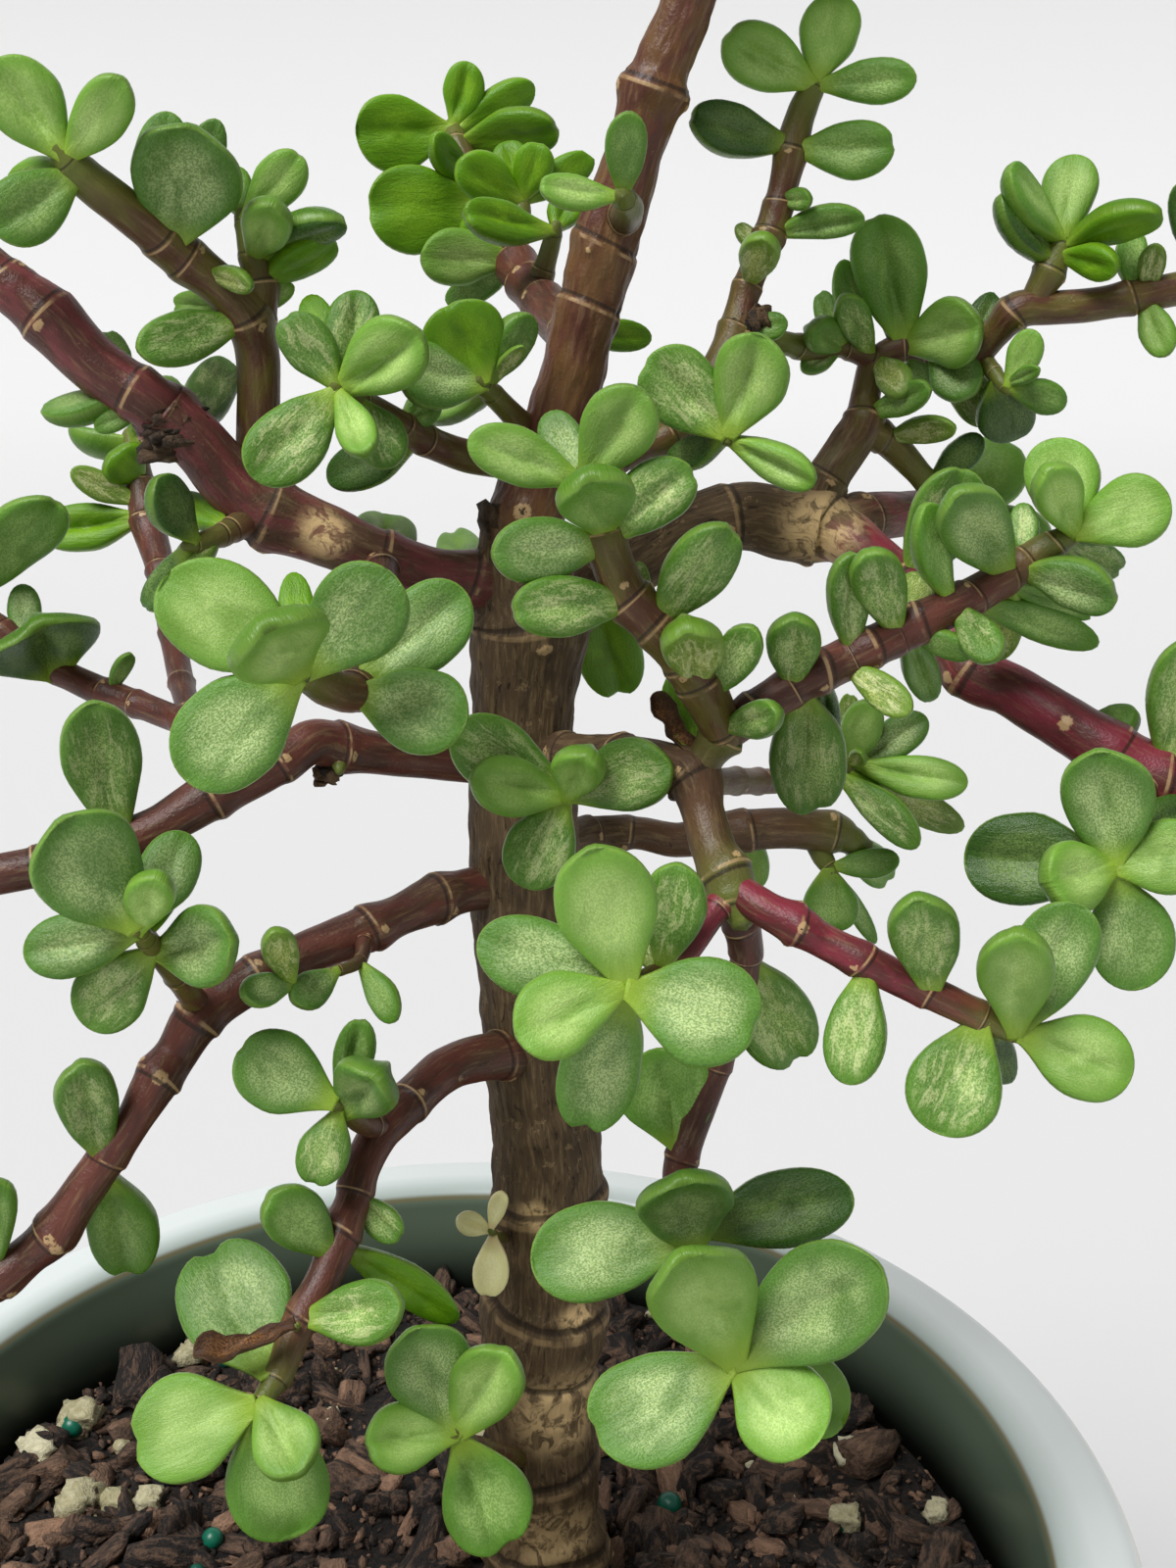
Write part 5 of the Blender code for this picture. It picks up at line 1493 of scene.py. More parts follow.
class Graph:
    """A material's nodes."""

    def __init__(self, name: str) -> None:
        """Starts an empty material.

        Args:
            name: The material's name.
        """
        self.material = bpy.data.materials.new(name)
        self.material.use_nodes = True
        self.tree = self.material.node_tree
        self.tree.nodes.clear()

    def add(self, kind: str, settings: dict[str, Any], inputs: dict[Any, Any], output: Any = 0) -> Value:
        """Adds a node.

        Args:
            kind: Its type.
            settings: Its properties, set first. stops is a ramp's (place, colour) list.
            inputs: Numbers, colours or values for its sockets, by name or place.
            output: The socket that the answer wraps.

        Returns:
            That output. It wraps nothing where the node has none.
        """
        node = self.tree.nodes.new(kind)
        for key, setting in settings.items():
            if key == "stops":
                ramp = node.color_ramp
                while len(ramp.elements) < len(setting):
                    ramp.elements.new(0.5)
                for element, (place, colour) in zip(ramp.elements, setting):
                    element.position = place
                    element.color = (*colour, 1)
            else:
                setattr(node, key, setting)
        for key, source in inputs.items():
            self.feed(node.inputs[key], source)
        return Value(self, node.outputs[output] if node.outputs else None)

    def number(self, name: str) -> Value:
        """A number that the mesh carries."""
        return self.add("ShaderNodeAttribute", {"attribute_name": name}, {}, "Fac")

    def vector(self, name: str, stretch: Row) -> Value:
        """A vector that the mesh carries, stretched along its axes."""
        carried = self.add("ShaderNodeAttribute", {"attribute_name": name}, {}, "Vector")
        return self.add("ShaderNodeVectorMath", {"operation": "MULTIPLY"}, {0: carried, 1: stretch})

    def place(self, scale: float) -> Value:
        """The object's own coordinates, scaled."""
        spot = self.add("ShaderNodeTexCoord", {}, {}, "Object")
        return self.add("ShaderNodeVectorMath", {"operation": "SCALE"}, {0: spot, "Scale": scale})

    def noise(
        self, spot: Value, scale: float, detail: float = 2, rough: float = 0.5, bend: float = 0
    ) -> Value:
        """A cloudy pattern, about 0.3 to 0.7."""
        inputs = {"Vector": spot, "Scale": scale, "Detail": detail, "Roughness": rough, "Distortion": bend}
        return self.add("ShaderNodeTexNoise", {}, inputs, 0)

    def mix(self, share: Any, first: Any, second: Any, blend: str = "MIX") -> Value:
        """Two colours mixed: the first at share 0 and the second at 1."""
        inputs = {0: share, 6: first, 7: second}
        return self.add("ShaderNodeMix", {"data_type": "RGBA", "blend_type": blend}, inputs, 2)

    def ramp(self, share: Value, stops: Sequence[tuple[float, Colour]]) -> Value:
        """A colour from a row of (place, colour) stops."""
        return self.add("ShaderNodeValToRGB", {"stops": stops}, {0: share})

    def bump(self, height: Value, strength: float, depth: float) -> Value:
        """A normal from a height pattern, whose full range is depth metres."""
        return self.add("ShaderNodeBump", {}, {"Height": height, "Strength": strength, "Distance": depth})

    def finish(self, inputs: dict[str, Any]) -> bpy.types.Material:
        """Ends the material with a Principled shader.

        Args:
            inputs: The shader's sockets.

        Returns:
            The material.
        """
        shader = self.add("ShaderNodeBsdfPrincipled", {}, inputs)
        self.add("ShaderNodeOutputMaterial", {}, {"Surface": shader})
        return self.material

    def grey(self, value: Value) -> Value:
        """A number as a grey colour."""
        return self.add("ShaderNodeCombineColor", {}, {"Red": value, "Green": value, "Blue": value})

    def separate(self, spot: Value) -> tuple[Value, Value, Value]:
        """A vector's three numbers."""
        return tuple(self.add("ShaderNodeSeparateXYZ", {}, {0: spot}, axis) for axis in ("X", "Y", "Z"))

    def feed(self, socket: bpy.types.NodeSocket, source: Any) -> None:
        """Gives a socket a link, a colour or a number.

        Args:
            socket: The node's input.
            source: What it takes.
        """
        if isinstance(source, Value):
            self.tree.links.new(source.socket, socket)
        else:
            socket.default_value = (*source, 1) if socket.type == "RGBA" else source


def report(piece: bpy.types.Object, slot: str, *nodes: str) -> None:
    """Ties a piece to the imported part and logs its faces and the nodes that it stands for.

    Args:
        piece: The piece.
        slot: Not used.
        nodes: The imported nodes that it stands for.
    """
    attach(piece, BODY)
    if nodes:
        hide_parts(*nodes)
    log.info("%s: %d faces, for %s", piece.name, len(piece.data.polygons), ", ".join(nodes) or "no node")


@dataclass(frozen=True)
class LeafFinish:
    """A fleshy leaf with fine silver grain in cloudy zones, a clean green margin darkened partly by painted
    edge shade, and a painted highlight as a thin pale line along the rim.
    """

    name: str
    deep: Colour
    pale: Colour
    # margin: a clean saturated green without silver grain, its own colour, set darker than the face partly as
    # painted shade on the edge that turns away from the light
    margin: Colour
    speckle: float
    cream: Colour = tint(208, 212, 156)
    cream_share: float = 0.0
    # rim: the colour of a painted highlight, a thin line along the leaf's very edge; it is paler than the
    # margin for every look but the pale sprout's, where it is a little darker
    rim: Colour = tint(140, 172, 80)
    foot: Colour = tint(146, 172, 54)
    under: Colour = tint(78, 118, 22)
    gloss: float = 0.34

    def build(self) -> bpy.types.Material:
        """Makes the material.

        Returns:
            The material.
        """
        g = Graph(self.name)
        rim, along, upper, tone = (g.number(name) for name in ("rim", "along", "upper", "seed"))
        grain = g.noise(g.vector("blade", (1, 0.7, 1)), 6.5, 2, 0.6)
        cloud = g.noise(g.vector("blade", (1, 0.5, 1)), 0.3, 2, 0.55, 0.5)
        patch = g.noise(g.vector("blade", (1, 0.26, 1)), 1.4, 4, 0.7, 0.7)
        inside = rim.between(0.96, 0.3)
        haze = cloud.between(0.32, 0.62, 0.15, 1) * inside
        speck = grain.between(0.40, 0.62, -0.5, 0.5) * (haze * 0.7 + 0.3) * self.speckle
        colour = g.mix(haze * 0.6 + speck + 0.16, self.deep, self.pale)
        if self.cream_share:
            streak = patch.between(0.50, 0.57) * grain.between(0.3, 0.55, 0.35, 1) * rim.between(0.98, 0.75)
            colour = g.mix(streak * self.cream_share, colour, self.cream)
        # the margin band: the leaf's own clean green, darkened partly as painted shade towards the edge
        colour = g.mix(rim.between(0.62, 0.9, 0, 0.55), colour, self.margin)
        # painted highlight: a thin pale line over the outermost few hundredths of the blade, where its
        # rounded edge turns
        colour = g.mix(rim.between(0.96, 1, 0, 0.65), colour, self.rim)
        colour = g.mix(along.between(0.34, 0.03, 0, 0.75), colour, self.foot)
        colour = g.mix((1 - upper) * 0.55, colour, self.under)
        colour = g.mix(1.0, colour, g.grey(tone * 0.3 + cloud * 0.4 + 0.70), "MULTIPLY")
        pores = g.noise(g.vector("blade", (1, 1, 1)), 6.5, 2, 0.6)
        return g.finish(
            {
                "Base Color": colour,
                "Roughness": grain.between(0.3, 0.7, self.gloss - 0.06, self.gloss + 0.12),
                "Normal": g.bump(pores * 0.6 + patch * 1.6, 0.5, 0.22 * MM),
                "Specular IOR Level": 0.32,
                "Subsurface Weight": 0.1,
                "Subsurface Radius": (0.6, 1.0, 0.15),
                "Subsurface Scale": 0.7 * MM,
            }
        )


# Each look's rim colour is its painted highlight along the leaf's edge.
LEAF_FINISHES = {
    Look.LIGHT: LeafFinish("leaf_light", tint(112, 156, 54), tint(180, 208, 124), tint(102, 152, 44), 0.45),
    Look.MID: LeafFinish("leaf_mid", tint(78, 124, 34), tint(158, 188, 108), tint(84, 134, 30), 0.6),
    Look.DARK: LeafFinish(
        "leaf_dark", tint(42, 76, 20), tint(116, 142, 76), tint(52, 92, 22), 0.6, gloss=0.28
    ),
    Look.SILVER: LeafFinish("leaf_silver", tint(74, 116, 38), tint(174, 194, 130), tint(76, 126, 32), 0.75),
    Look.STREAKED: LeafFinish(
        "leaf_streaked", tint(70, 114, 32), tint(162, 186, 112), tint(78, 124, 28), 0.8, cream_share=0.42
    ),
    Look.CREAM: LeafFinish(
        "leaf_cream", tint(84, 122, 32), tint(184, 192, 114), tint(104, 138, 38), 0.8, cream_share=0.65
    ),
    Look.BRIGHT: LeafFinish(
        "leaf_bright", tint(76, 124, 6), tint(126, 170, 30), tint(96, 146, 12), 0.35,
        rim=tint(136, 170, 46), under=tint(68, 112, 2)
    ),
    Look.PALE: LeafFinish(
        "leaf_pale", tint(226, 218, 152), tint(248, 240, 190), tint(240, 230, 174), 0.5,
        rim=tint(232, 220, 170), foot=tint(204, 180, 130), under=tint(216, 206, 150)
    ),
    Look.WITHERED: LeafFinish(
        "leaf_withered", tint(58, 36, 22), tint(140, 98, 58), tint(52, 32, 20), 0.9,
        rim=tint(88, 58, 34), foot=tint(70, 44, 26), under=tint(64, 42, 26), gloss=0.6
    ),
}


@dataclass(frozen=True)
class BarkFinish:
    """Stem skin: glossy and coloured when thin, brown and cracked when thick, with thin scar rings."""

    name: str
    skin: Skin
    brown: Colour = tint(84, 66, 44)
    pale: Colour = tint(150, 126, 90)
    crack: Colour = tint(38, 27, 18)
    ring: Colour = tint(196, 164, 118)
    flaky: Colour = tint(234, 200, 146)
    tender: Colour = tint(102, 116, 44)

    def build(self) -> bpy.types.Material:
        """Makes the material.

        Returns:
            The material.
        """
        g = Graph(self.name)
        node, girth, scar = g.number("node"), g.number("girth"), g.number("scar")
        fresh, ripe, thin, thick = self.skin.value
        cloud = g.noise(g.vector("bark", (1, 1, 0.35)), 0.45, 3, 0.55, 0.4)
        fibre = g.noise(g.vector("bark", (1, 1, 0.13)), 2.2, 3, 0.6, 0.25)
        crack = g.noise(g.vector("bark", (1, 1, 0.22)), 1.3, 4, 0.7, 1.2)
        grit = g.noise(g.vector("bark", (1, 1, 0.8)), 3.8, 2, 0.6)
        flake = g.noise(g.vector("bark", (1, 1, 0.8)), 0.55, 4, 0.65, 0.8)
        wood = (girth + g.number("age") * 1.3 + cloud * 2 - 1).between(thin, thick)
        young = g.mix(cloud.between(0.38, 0.62), fresh, ripe)
        young = g.mix(fibre.between(0.5, 0.72, 0, 0.3), young, self.pale)
        old = g.mix(fibre.between(0.42, 0.7, 0, 0.4), self.brown, self.pale)
        old = g.mix(cloud.between(0.5, 0.36, 0, 0.4), old, self.crack)
        old = g.mix(flake.between(0.60, 0.66, 0, 0.6) * grit.between(0.35, 0.6), old, self.pale)
        tender = g.number("tender")
        young = g.mix(tender * 0.85, young, self.tender)
        colour = g.mix(wood * (1 - tender), young, old)
        slit = crack.between(0.40, 0.34) * wood
        colour = g.mix(slit * 0.7, colour, self.crack)
        colour = g.mix(grit.between(0.68, 0.76, 0, 0.5), colour, self.pale)
        near = g.number("near").between(0.8, 1)
        line = near * ((node + 0.05) ** 2).between(0.006, 0.0006) * cloud.between(0.38, 0.58, 0, 1)
        colour = g.mix(line * (1 - wood * 0.4) * 0.65, colour, self.ring)
        shape = scar + (grit - 0.5) * 0.9 + (cloud - 0.5) * 0.8
        colour = g.mix(shape.between(1.15, 0.85, 0, 0.8), colour, self.ring)
        colour = g.mix(shape.between(0.5, 0.3, 0, 0.9), colour, self.crack)
        colour = g.mix(g.number("dry") * flake.between(0.40, 0.54, 0.15, 0.9), colour, self.flaky)
        colour = g.mix(near * ((node - 0.13) ** 2).between(0.007, 0.0005, 0, 0.75), colour, self.crack)
        height = fibre * wood * 0.8 + grit * 0.3 + slit * -1.2 + cloud * 0.6
        return g.finish(
            {
                "Base Color": colour,
                "Roughness": wood.between(0, 1, 0.42, 0.75),
                "Specular IOR Level": 0.35,
                "Normal": g.bump(height, 0.7, 0.35 * MM),
            }
        )


@dataclass(frozen=True)
class ChipFinish:
    """Loose matter of one kind, with a fibrous grain, whose tone differs from piece to piece."""

    name: str
    dark: Colour
    light: Colour
    grain: float = 0.9
    stretch: float = 0.3
    gloss: float = 0.85
    depth: float = 0.6 * MM
    rare: float = 1.5

    def build(self) -> bpy.types.Material:
        """Makes the material.

        Returns:
            The material.
        """
        g = Graph(self.name)
        tone = g.number("tone")
        grain = g.noise(g.vector("grain", (self.stretch, 1, 1)), self.grain, 4, 0.7, 0.4)
        spots = g.noise(g.vector("grain", (1, 1, 1)), self.grain * 2.5, 2, 0.6)
        share = tone**self.rare * 0.8 + grain.between(0.38, 0.66, -0.12, 0.3)
        share += spots.between(0.6, 0.75, 0, 0.2)
        colour = g.mix(share, self.dark, self.light)
        height = grain + spots * 0.4
        normal = g.bump(height, 0.9, self.depth)
        return g.finish({"Base Color": colour, "Roughness": self.gloss, "Normal": normal})


@dataclass(frozen=True)
class GlazeFinish:
    """The pot's glaze, by radius and height in mm: pale outside, dark green inside, an olive line between,
    and painted shade that darkens the inner wall to nearly black towards the soil.
    """

    name: str = "glaze"
    outside: Colour = tint(240, 241, 234)
    lip: Colour = tint(214, 221, 219)
    shade: Colour = tint(168, 180, 175)
    line: Colour = tint(112, 108, 80)
    inside: Colour = tint(96, 112, 94)
    edges: tuple[float, ...] = (69.8, 70.3, 70.7, 71.5, 76.5, 80.5)
    span: tuple[float, float] = (66.0, 86.0)
    top: float = 140
    # depth is the colour of painted shade down the inner wall, nearly black; deep gives the heights in mm
    # over which it fades in
    depth: Colour = tint(11, 13, 9)
    deep: tuple[float, float] = (136, 123)
    lip_edge: tuple[float, float] = (80.9, 82.3)
    wall_top: tuple[float, float] = (134, 132)
    wall_edge: tuple[float, float] = (57.6, 58.4)
    slope: float = 0.1165
    gloss: float = 0.3

    def build(self) -> bpy.types.Material:
        """Makes the material.

        Returns:
            The material.
        """
        g = Graph(self.name)
        x, y, height = g.separate(g.place(1 / MM))
        radius = (x * x + y * y) ** 0.5
        low, high = self.span
        colours = (self.inside, self.line, self.line, self.shade, self.lip, self.lip)
        stops = [((edge - low) / (high - low), colour) for edge, colour in zip(self.edges, colours)]
        top = g.ramp((radius + height - self.top - low) * (1 / (high - low)), stops)
        # painted shade: the inner wall fades to nearly black as it goes down towards the soil
        top = g.mix(height.between(*self.deep), top, self.depth)
        wall = (radius - height * self.slope).between(*self.wall_edge) * height.between(*self.wall_top)
        colour = g.mix(radius.between(*self.lip_edge), top, self.outside)
        colour = g.mix(wall, colour, self.outside)
        return g.finish({"Base Color": colour, "Roughness": self.gloss})


@dataclass
class Pot:
    """The glazed pot."""

    height: float = 140 * MM
    lip_radius: float = 82.5 * MM
    lip_inner_radius: float = 71.5 * MM
    lip_depth: float = 12 * MM
    lip_round: float = 3 * MM
    base_radius: float = 59 * MM
    wall: float = 3 * MM
    floor: float = 4 * MM
    corner: float = 2 * MM
    sides: int = 160

    def inner_radius(self, height: float) -> float:
        """The inner wall's radius at a height."""
        share = (height - self.floor) / (self.height - self.lip_round - self.floor)
        return self.base_radius - self.wall + (self.lip_inner_radius - self.base_radius + self.wall) * share

    def profile(self) -> list[tuple[float, float]]:
        """The outline from the floor's middle over the lip to the base's middle, as (radius, height).

        Returns:
            The points, in metres.
        """
        r = self.lip_round
        corner, foot = self.corner, self.height - self.lip_depth
        under = self.inner_radius(foot) + self.wall
        inner_foot = self.base_radius - self.wall
        return [
            (0, self.floor),
            (inner_foot - corner, self.floor),
            (inner_foot, self.floor + corner),
            *((self.inner_radius(h * MM), h * MM) for h in (40, 80, 110, 125, 133)),
            *self.arc((self.lip_inner_radius + r, self.height - r), r, 180, 90),
            *self.arc((self.lip_radius - r, self.height - r), r, 90, 0),
            (self.lip_radius - 0.5 * MM, foot + MM),
            (self.lip_radius - 1.4 * MM, foot),
            (under + MM, foot),
            (under, foot - MM),
            (self.base_radius + 0.4 * MM, 5 * MM),
            *self.arc((self.base_radius - corner, corner), corner, 0, -90),
            (0, 0),
        ]

    def build(self) -> None:
        """Turns the profile about the pot's axis."""
        draft = Draft()
        profile = self.profile()
        loops: list[list[int]] = []
        turns = [math.tau * k / self.sides for k in range(self.sides)]
        for radius, height in profile[1:-1]:
            around = [Vector((radius * math.cos(t), radius * math.sin(t), height)) for t in turns]
            loops.append([draft.point(place, {}) for place in around])
        for low, high in zip(loops, loops[1:]):
            draft.strip(low, high)
        draft.fan(loops[0][::-1], draft.point(Vector((0, 0, profile[0][1])), {}))
        draft.fan(loops[-1], draft.point(Vector((0, 0, profile[-1][1])), {}))
        draft.faces = [face[::-1] for face in draft.faces]
        report(draft.build("glazed_pot", [GlazeFinish().build()]), "pot", "pot")

    @staticmethod
    def arc(
        centre: tuple[float, float], radius: float, start: float, end: float
    ) -> list[tuple[float, float]]:
        """Points of a rounded corner.

        Args:
            centre: The round's middle, as (radius, height).
            radius: The round's own radius.
            start: The bearing that it starts at, in degrees.
            end: The bearing that it ends at.

        Returns:
            The points.
        """
        turns = [math.radians(start + (end - start) * i / 8) for i in range(9)]
        return [(centre[0] + radius * math.cos(t), centre[1] + radius * math.sin(t)) for t in turns]


@dataclass(frozen=True)
class Bit:
    """Loose bits of one kind: their number, half lengths, and width and thickness as shares of the length."""

    count: int
    sizes: tuple[float, float]
    width: tuple[float, float]
    thickness: tuple[float, float]
    fine: int = 2


@dataclass
class Soil:
    """Bark soil with lumps of perlite and slow-release prills. lumps and beads are (u, v, size in mm)."""

    trunk: Vector
    trunk_radius: float
    level: float = 124 * MM
    radius: float = 68.6 * MM
    bottom: float = 4.5 * MM
    foot: float = 4.4 * MM
    rings: int = 46
    sides: int = 110
    seed: int = 7
    chips: Bit = Bit(1500, (1.0 * MM, 4.8 * MM), (0.4, 0.75), (0.22, 0.5))
    twigs: Bit = Bit(45, (3 * MM, 7 * MM), (0.08, 0.16), (0.06, 0.12))
    crumbs: Bit = Bit(7000, (0.35 * MM, 1.1 * MM), (0.5, 0.9), (0.4, 0.8), 1)
    perlite: Bit = Bit(60, (0.4 * MM, 1.7 * MM), (0.8, 0.95), (0.6, 0.85))
    prills: int = 26
    waves: tuple[Row, ...] = ((1.8, 60), (1.2, 220), (0.5, 700))
    lumps: tuple[Row, ...] = (
        (80, 1530, 5.5), (118, 1532, 3.5), (152, 1532, 3.5), (158, 1344, 4.5), (872, 1485, 4.6),
        (862, 1550, 3.6), (495, 1467, 4.0), (24, 1478, 6.0), (50, 1432, 5.4), (205, 1440, 3.2),
        (955, 1545, 3.0), (560, 1590, 3.0),
    )
    beads: tuple[Row, ...] = ((74, 1455, 3.3), (683, 1535, 3.3))

    def relief(self, x: float, y: float) -> float:
        """The soil's height above its level at a place."""
        spot = Vector((x, y, 0))
        return sum(depth * noise.noise(spot * scale) for depth, scale in self.waves) * MM

    def surface(self, material: bpy.types.Material) -> None:
        """The soil's plug, with a lumpy top.

        Args:
            material: Its finish.
        """
        draft = Draft()
        loops = [self.ring(draft, self.radius * k / self.rings, None) for k in range(1, self.rings + 1)]
        loops.append(self.ring(draft, Pot().inner_radius(self.bottom) - 0.5 * MM, self.foot))
        for low, high in zip(loops, loops[1:]):
            draft.strip(high, low)
        ends = ((loops[0], self.level + self.relief(0, 0)), (loops[-1][::-1], self.foot))
        for loop, height in ends:
            draft.fan(loop, draft.point(Vector((0, 0, height)), {"tone": 0.1}, {"grain": (0, 0, 0)}))
        report(draft.build("soil_bed", [material]), "soil", "soil")

    def scatter(self, rng: random.Random, clear: float, half: float) -> Vector:
        """A random place on the soil, clear of the trunk and inside the pot.

        Args:
            rng: The draw.
            clear: How far from the trunk's middle the place is at least.
            half: How far the place stays from the pot.

        Returns:
            The place, at the soil's level.
        """
        while True:
            away = math.sqrt(rng.random()) * (self.radius + 0.8 * MM - half)
            bearing = rng.uniform(0, math.tau)
            spot = Vector((away * math.cos(bearing), away * math.sin(bearing), self.level))
            if (spot.xy - self.trunk.xy).length > clear:
                return spot

    def build(self) -> None:
        """Makes the bed and everything on it."""
        made = {name: LOOSE_FINISHES[name].build() for name in ("soil", "chips", "perlite", "prills")}
        self.surface(made["soil"])
        rng = random.Random(self.seed)
        bark, crumbs, stones, beads = Draft(), Draft(), Draft(), Draft()
        self.strew(bark, rng, self.chips)
        self.strew(bark, rng, self.twigs)
        self.strew(crumbs, rng, self.crumbs)
        for u, v, width in self.lumps:
            spot = VIEW.ground(u, v, self.level + width * 0.35 * MM)
            spot.xy *= min(1, (self.radius - width * 0.8 * MM) / spot.xy.length)
            size = [width * share * MM for share in (0.5, 0.42, 0.38)]
            stones.lump(spot, size, Matrix.Identity(3), rng, 3)
        self.strew(stones, rng, self.perlite)
        places = [(VIEW.ground(u, v, self.level + 1.5 * MM), width / 2 * MM) for u, v, width in self.beads]
        for _ in range(self.prills):
            spot = self.scatter(rng, self.trunk_radius + 3 * MM, 2 * MM)
            spot.z += self.relief(spot.x, spot.y) + 0.9 * MM
            places.append((spot, rng.uniform(1.0, 1.6) * MM))
        for spot, radius in places:
            beads.ball(spot, radius, rng.random())
        report(bark.build("bark_chips", [made["chips"]]), "soil")
        report(crumbs.build("bark_crumbs", [made["chips"]]), "soil")
        report(stones.build("perlite", [made["perlite"]]), "soil")
        report(beads.build("prills", [made["prills"]]), "soil")

    def strew(self, draft: Draft, rng: random.Random, bit: Bit) -> None:
        """Adds loose bits of one kind at random places.

        Args:
            draft: The mesh in the making.
            rng: The draw.
            bit: What the bits are like.
        """
        for _ in range(bit.count):
            half = bit.sizes[0] + (bit.sizes[1] - bit.sizes[0]) * rng.random() ** 2
            spot = self.scatter(rng, self.trunk_radius + half * 0.7, half)
            size = (half, half * rng.uniform(*bit.width), half * rng.uniform(*bit.thickness))
            spot.z += self.relief(spot.x, spot.y) + size[2] * rng.uniform(0, 0.9)
            lie = Euler((rng.gauss(0, 0.6), rng.gauss(0, 0.6), rng.uniform(0, math.tau))).to_matrix()
            draft.lump(spot, size, lie, rng, bit.fine)

    def ring(self, draft: Draft, radius: float, height: float | None) -> list[int]:
        """Adds a ring of points about the pot's axis.

        Args:
            draft: The mesh in the making.
            radius: The ring's radius.
            height: Its height, or None where it follows the lumpy top.

        Returns:
            Its points.
        """
        loop = []
        for turn in (math.tau * k / self.sides for k in range(self.sides)):
            x, y = radius * math.cos(turn), radius * math.sin(turn)
            eased = 1 - (radius / self.radius) ** 12
            z = self.level + self.relief(x, y) * eased if height is None else height
            loop.append(draft.point(Vector((x, y, z)), {"tone": 0.1}, {"grain": (x / MM, y / MM, z / MM)}))
        return loop


@dataclass
class Plant:
    """The trunk and all its leafy limbs, with the stubs of broken ones."""

    limbs: Sequence[Limb]
    blade: BladeMaker = field(default_factory=BladeMaker)
    stem: StemMaker = field(default_factory=StemMaker)
    trunk: StemMaker = field(
        default_factory=lambda: StemMaker(sides=72, wrinkle=0.03, bark=0.28 * MM, fill=False, swell=0.07)
    )
    seed: int = 3
    splinters: int = 9
    stub_steps: int = 5

    def build(self) -> None:
        """Makes each limb's stem and leaves, and the broken stubs."""
        leaf_materials = [LEAF_FINISHES[look].build() for look in LOOK_ORDER]
        barks = {skin: BarkFinish("bark_" + skin.name.lower(), skin).build() for skin in Skin}
        foliage = Foliage(self.limbs)
        foliage.settle()
        dead = Draft()
        rng = random.Random(self.seed)
        for number, limb in enumerate(self.limbs):
            wood, green = Draft(), Draft()
            maker = self.trunk if limb is TRUNK else self.stem
            leaves = foliage.blades[limb.name]
            roots = [leaf.root for leaf in leaves]
            roots += [VIEW.sight(u, v, limb.nearest(u, v)[2]) for u, v in limb.marks]
            for index, route in enumerate(limb.routes()):
                maker.add(wood, limb, route, roots, number * 17 + index)
            for index, leaf in enumerate(leaves):
                self.blade.add(green, leaf, number * 101 + index)
            self.dead_wood(dead, limb, rng)
            bark = barks[SKINS.get(limb.name, Skin.WOOD)]
            report(wood.build(limb.name + "_stem", [bark]), "bark", limb.name)
            if green.points:
                slot = ODD_SLOTS.get(limb.name, "leaf")
                report(green.build(limb.name + "_leaves", leaf_materials), slot, limb.name)
        dry = [LOOSE_FINISHES[name].build() for name in ("dead", "cut")]
        report(dead.build("dead_stubs", dry), "bark")

    def dead_wood(self, draft: Draft, limb: Limb, rng: random.Random) -> None:
        """Adds a limb's broken stubs.

        Args:
            draft: The mesh in the making.
            limb: The limb.
            rng: The draw that shapes the splinters.
        """
        for u, v, run, drop, width, cut in limb.stubs:
            root, _, _ = limb.nearest(u, v)
            pixel = VIEW.seen_size(1, root)
            away = Vector((run, -0.35 * math.hypot(run, drop), -drop)) * pixel
            radius = width * pixel / 2
            turn = away.to_track_quat("X", "Z").to_matrix()
            for step in range(self.stub_steps):
                spot = root + away * (step / (self.stub_steps - 1)) * 0.85
                draft.lump(spot, (away.length * 0.2, radius * 0.95, radius * 0.95), turn, rng, 3)
            if cut:
                draft.lump(root + away * 0.97, (radius * 0.22, radius * 0.7, radius * 0.7), turn, rng, 3, 1)
                continue
            for _ in range(self.splinters):
                jitter = Vector([rng.uniform(-0.5, 0.5) * radius for _ in range(3)])
                lie = Euler([rng.uniform(0, math.pi) for _ in range(3)]).to_matrix()
                size = [radius * rng.uniform(*share) for share in ((0.3, 0.7), (0.1, 0.3), (0.2, 0.4))]
                draft.lump(root + away * rng.uniform(0.5, 0.9) + jitter, size, lie, rng, 2)


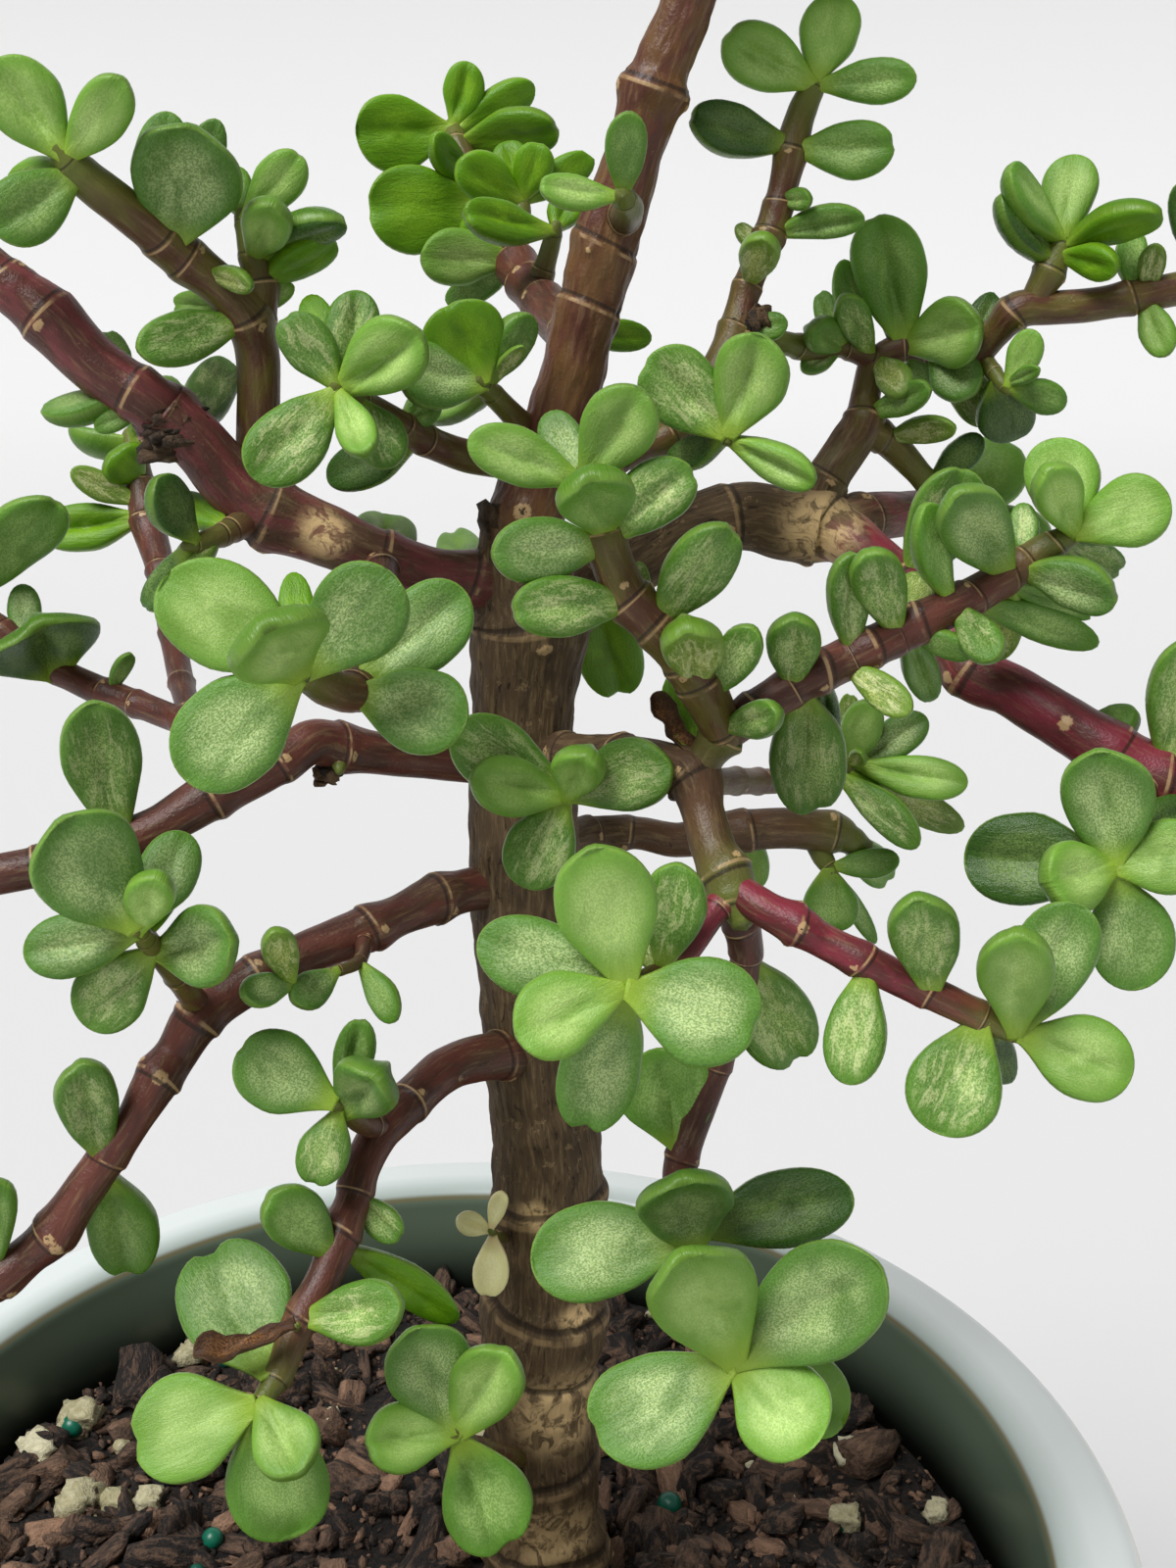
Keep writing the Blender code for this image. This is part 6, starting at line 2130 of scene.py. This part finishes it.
@dataclass
class Studio:
    """The pale floor and the soft light."""

    reach: float = 3.0
    bend: float = 0.8
    key: float = 3.5
    sky: float = 0.28
    softness: float = math.radians(30)
    sun: Row = (-0.55, -0.6, 1.25)
    steps: int = 16
    top: float = 3.5
    side: float = 4.0

    def backdrop(self) -> None:
        """A floor that curves up behind the plant."""
        profile = [(-self.reach, 0.0)]
        for turn in (math.pi / 2 * i / self.steps for i in range(self.steps + 1)):
            behind = self.reach - self.bend * (1 - math.sin(turn))
            profile.append((behind, self.bend * (1 - math.cos(turn))))
        profile.append((self.reach, self.top))
        draft = Draft(boxed=False)
        rows = [[draft.point(Vector((x, y, z)), {}) for x in (-self.side, self.side)] for y, z in profile]
        for a, b in zip(rows, rows[1:]):
            draft.face((a[0], a[1], b[1], b[0]))
        draft.build("backdrop", [PaperFinish().build()])

    def build(self) -> None:
        """Sets the stage."""
        self.backdrop()
        scene = bpy.context.scene
        scene.world = bpy.data.worlds.new("room")
        scene.world.use_nodes = True
        sky = scene.world.node_tree.nodes["Background"].inputs
        sky["Color"].default_value = (1, 1, 1, 1)
        sky["Strength"].default_value = self.sky
        lamp = bpy.data.lights.new("key", "SUN")
        lamp.energy = self.key
        lamp.angle = self.softness
        holder = bpy.data.objects.new("key", lamp)
        holder.rotation_euler = Vector(self.sun).to_track_quat("Z", "Y").to_euler()
        scene.collection.objects.link(holder)
        scene.view_settings.view_transform = "Standard"


@dataclass(frozen=True)
class PaperFinish:
    """The pale backdrop, which glows a little, and more where it curves up, so that it stays even."""

    name: str = "paper"
    colour: Colour = (0.5, 0.5, 0.5)
    glow: tuple[float, float] = (0.165, 0.265)
    rise: float = 0.8

    def build(self) -> bpy.types.Material:
        """Makes the material.

        Returns:
            The material.
        """
        g = Graph(self.name)
        _, _, height = g.separate(g.place(1))
        return g.finish(
            {
                "Base Color": self.colour,
                "Roughness": 0.9,
                "Emission Color": g.grey(height.between(0, self.rise, *self.glow)),
                "Emission Strength": 1.0,
            }
        )


LOOSE_FINISHES = {
    "soil": ChipFinish("soil", tint(12, 10, 8), tint(84, 58, 42), 1.3, 0.6, depth=1.6 * MM),
    "chips": ChipFinish("bark_chips", tint(20, 13, 9), tint(150, 116, 92), depth=0.9 * MM, rare=3.2),
    "perlite": ChipFinish("perlite", tint(160, 152, 116), tint(216, 210, 178), stretch=1, gloss=0.9),
    "prills": ChipFinish("prills", tint(8, 80, 62), tint(20, 112, 86), 0.4, 1, 0.35, 0.05 * MM),
    "dead": ChipFinish("dead_wood", tint(14, 10, 8), tint(112, 86, 60), 1.4),
    "cut": ChipFinish("cut_wood", tint(150, 124, 88), tint(206, 182, 140), 1.4, 1),
}


def main() -> None:
    """Builds the dressed part, piece by piece."""
    logging.basicConfig(level=logging.INFO, format="%(name)s: %(message)s")
    VIEW.place_camera()
    Studio().build()
    Pot().build()
    foot, radius = TRUNK.routes()[0][TRUNK_AT_SOIL]
    Soil(trunk=foot, trunk_radius=radius).build()
    Plant((TRUNK, *LIMBS)).build()


if __name__ == "__main__":
    main()
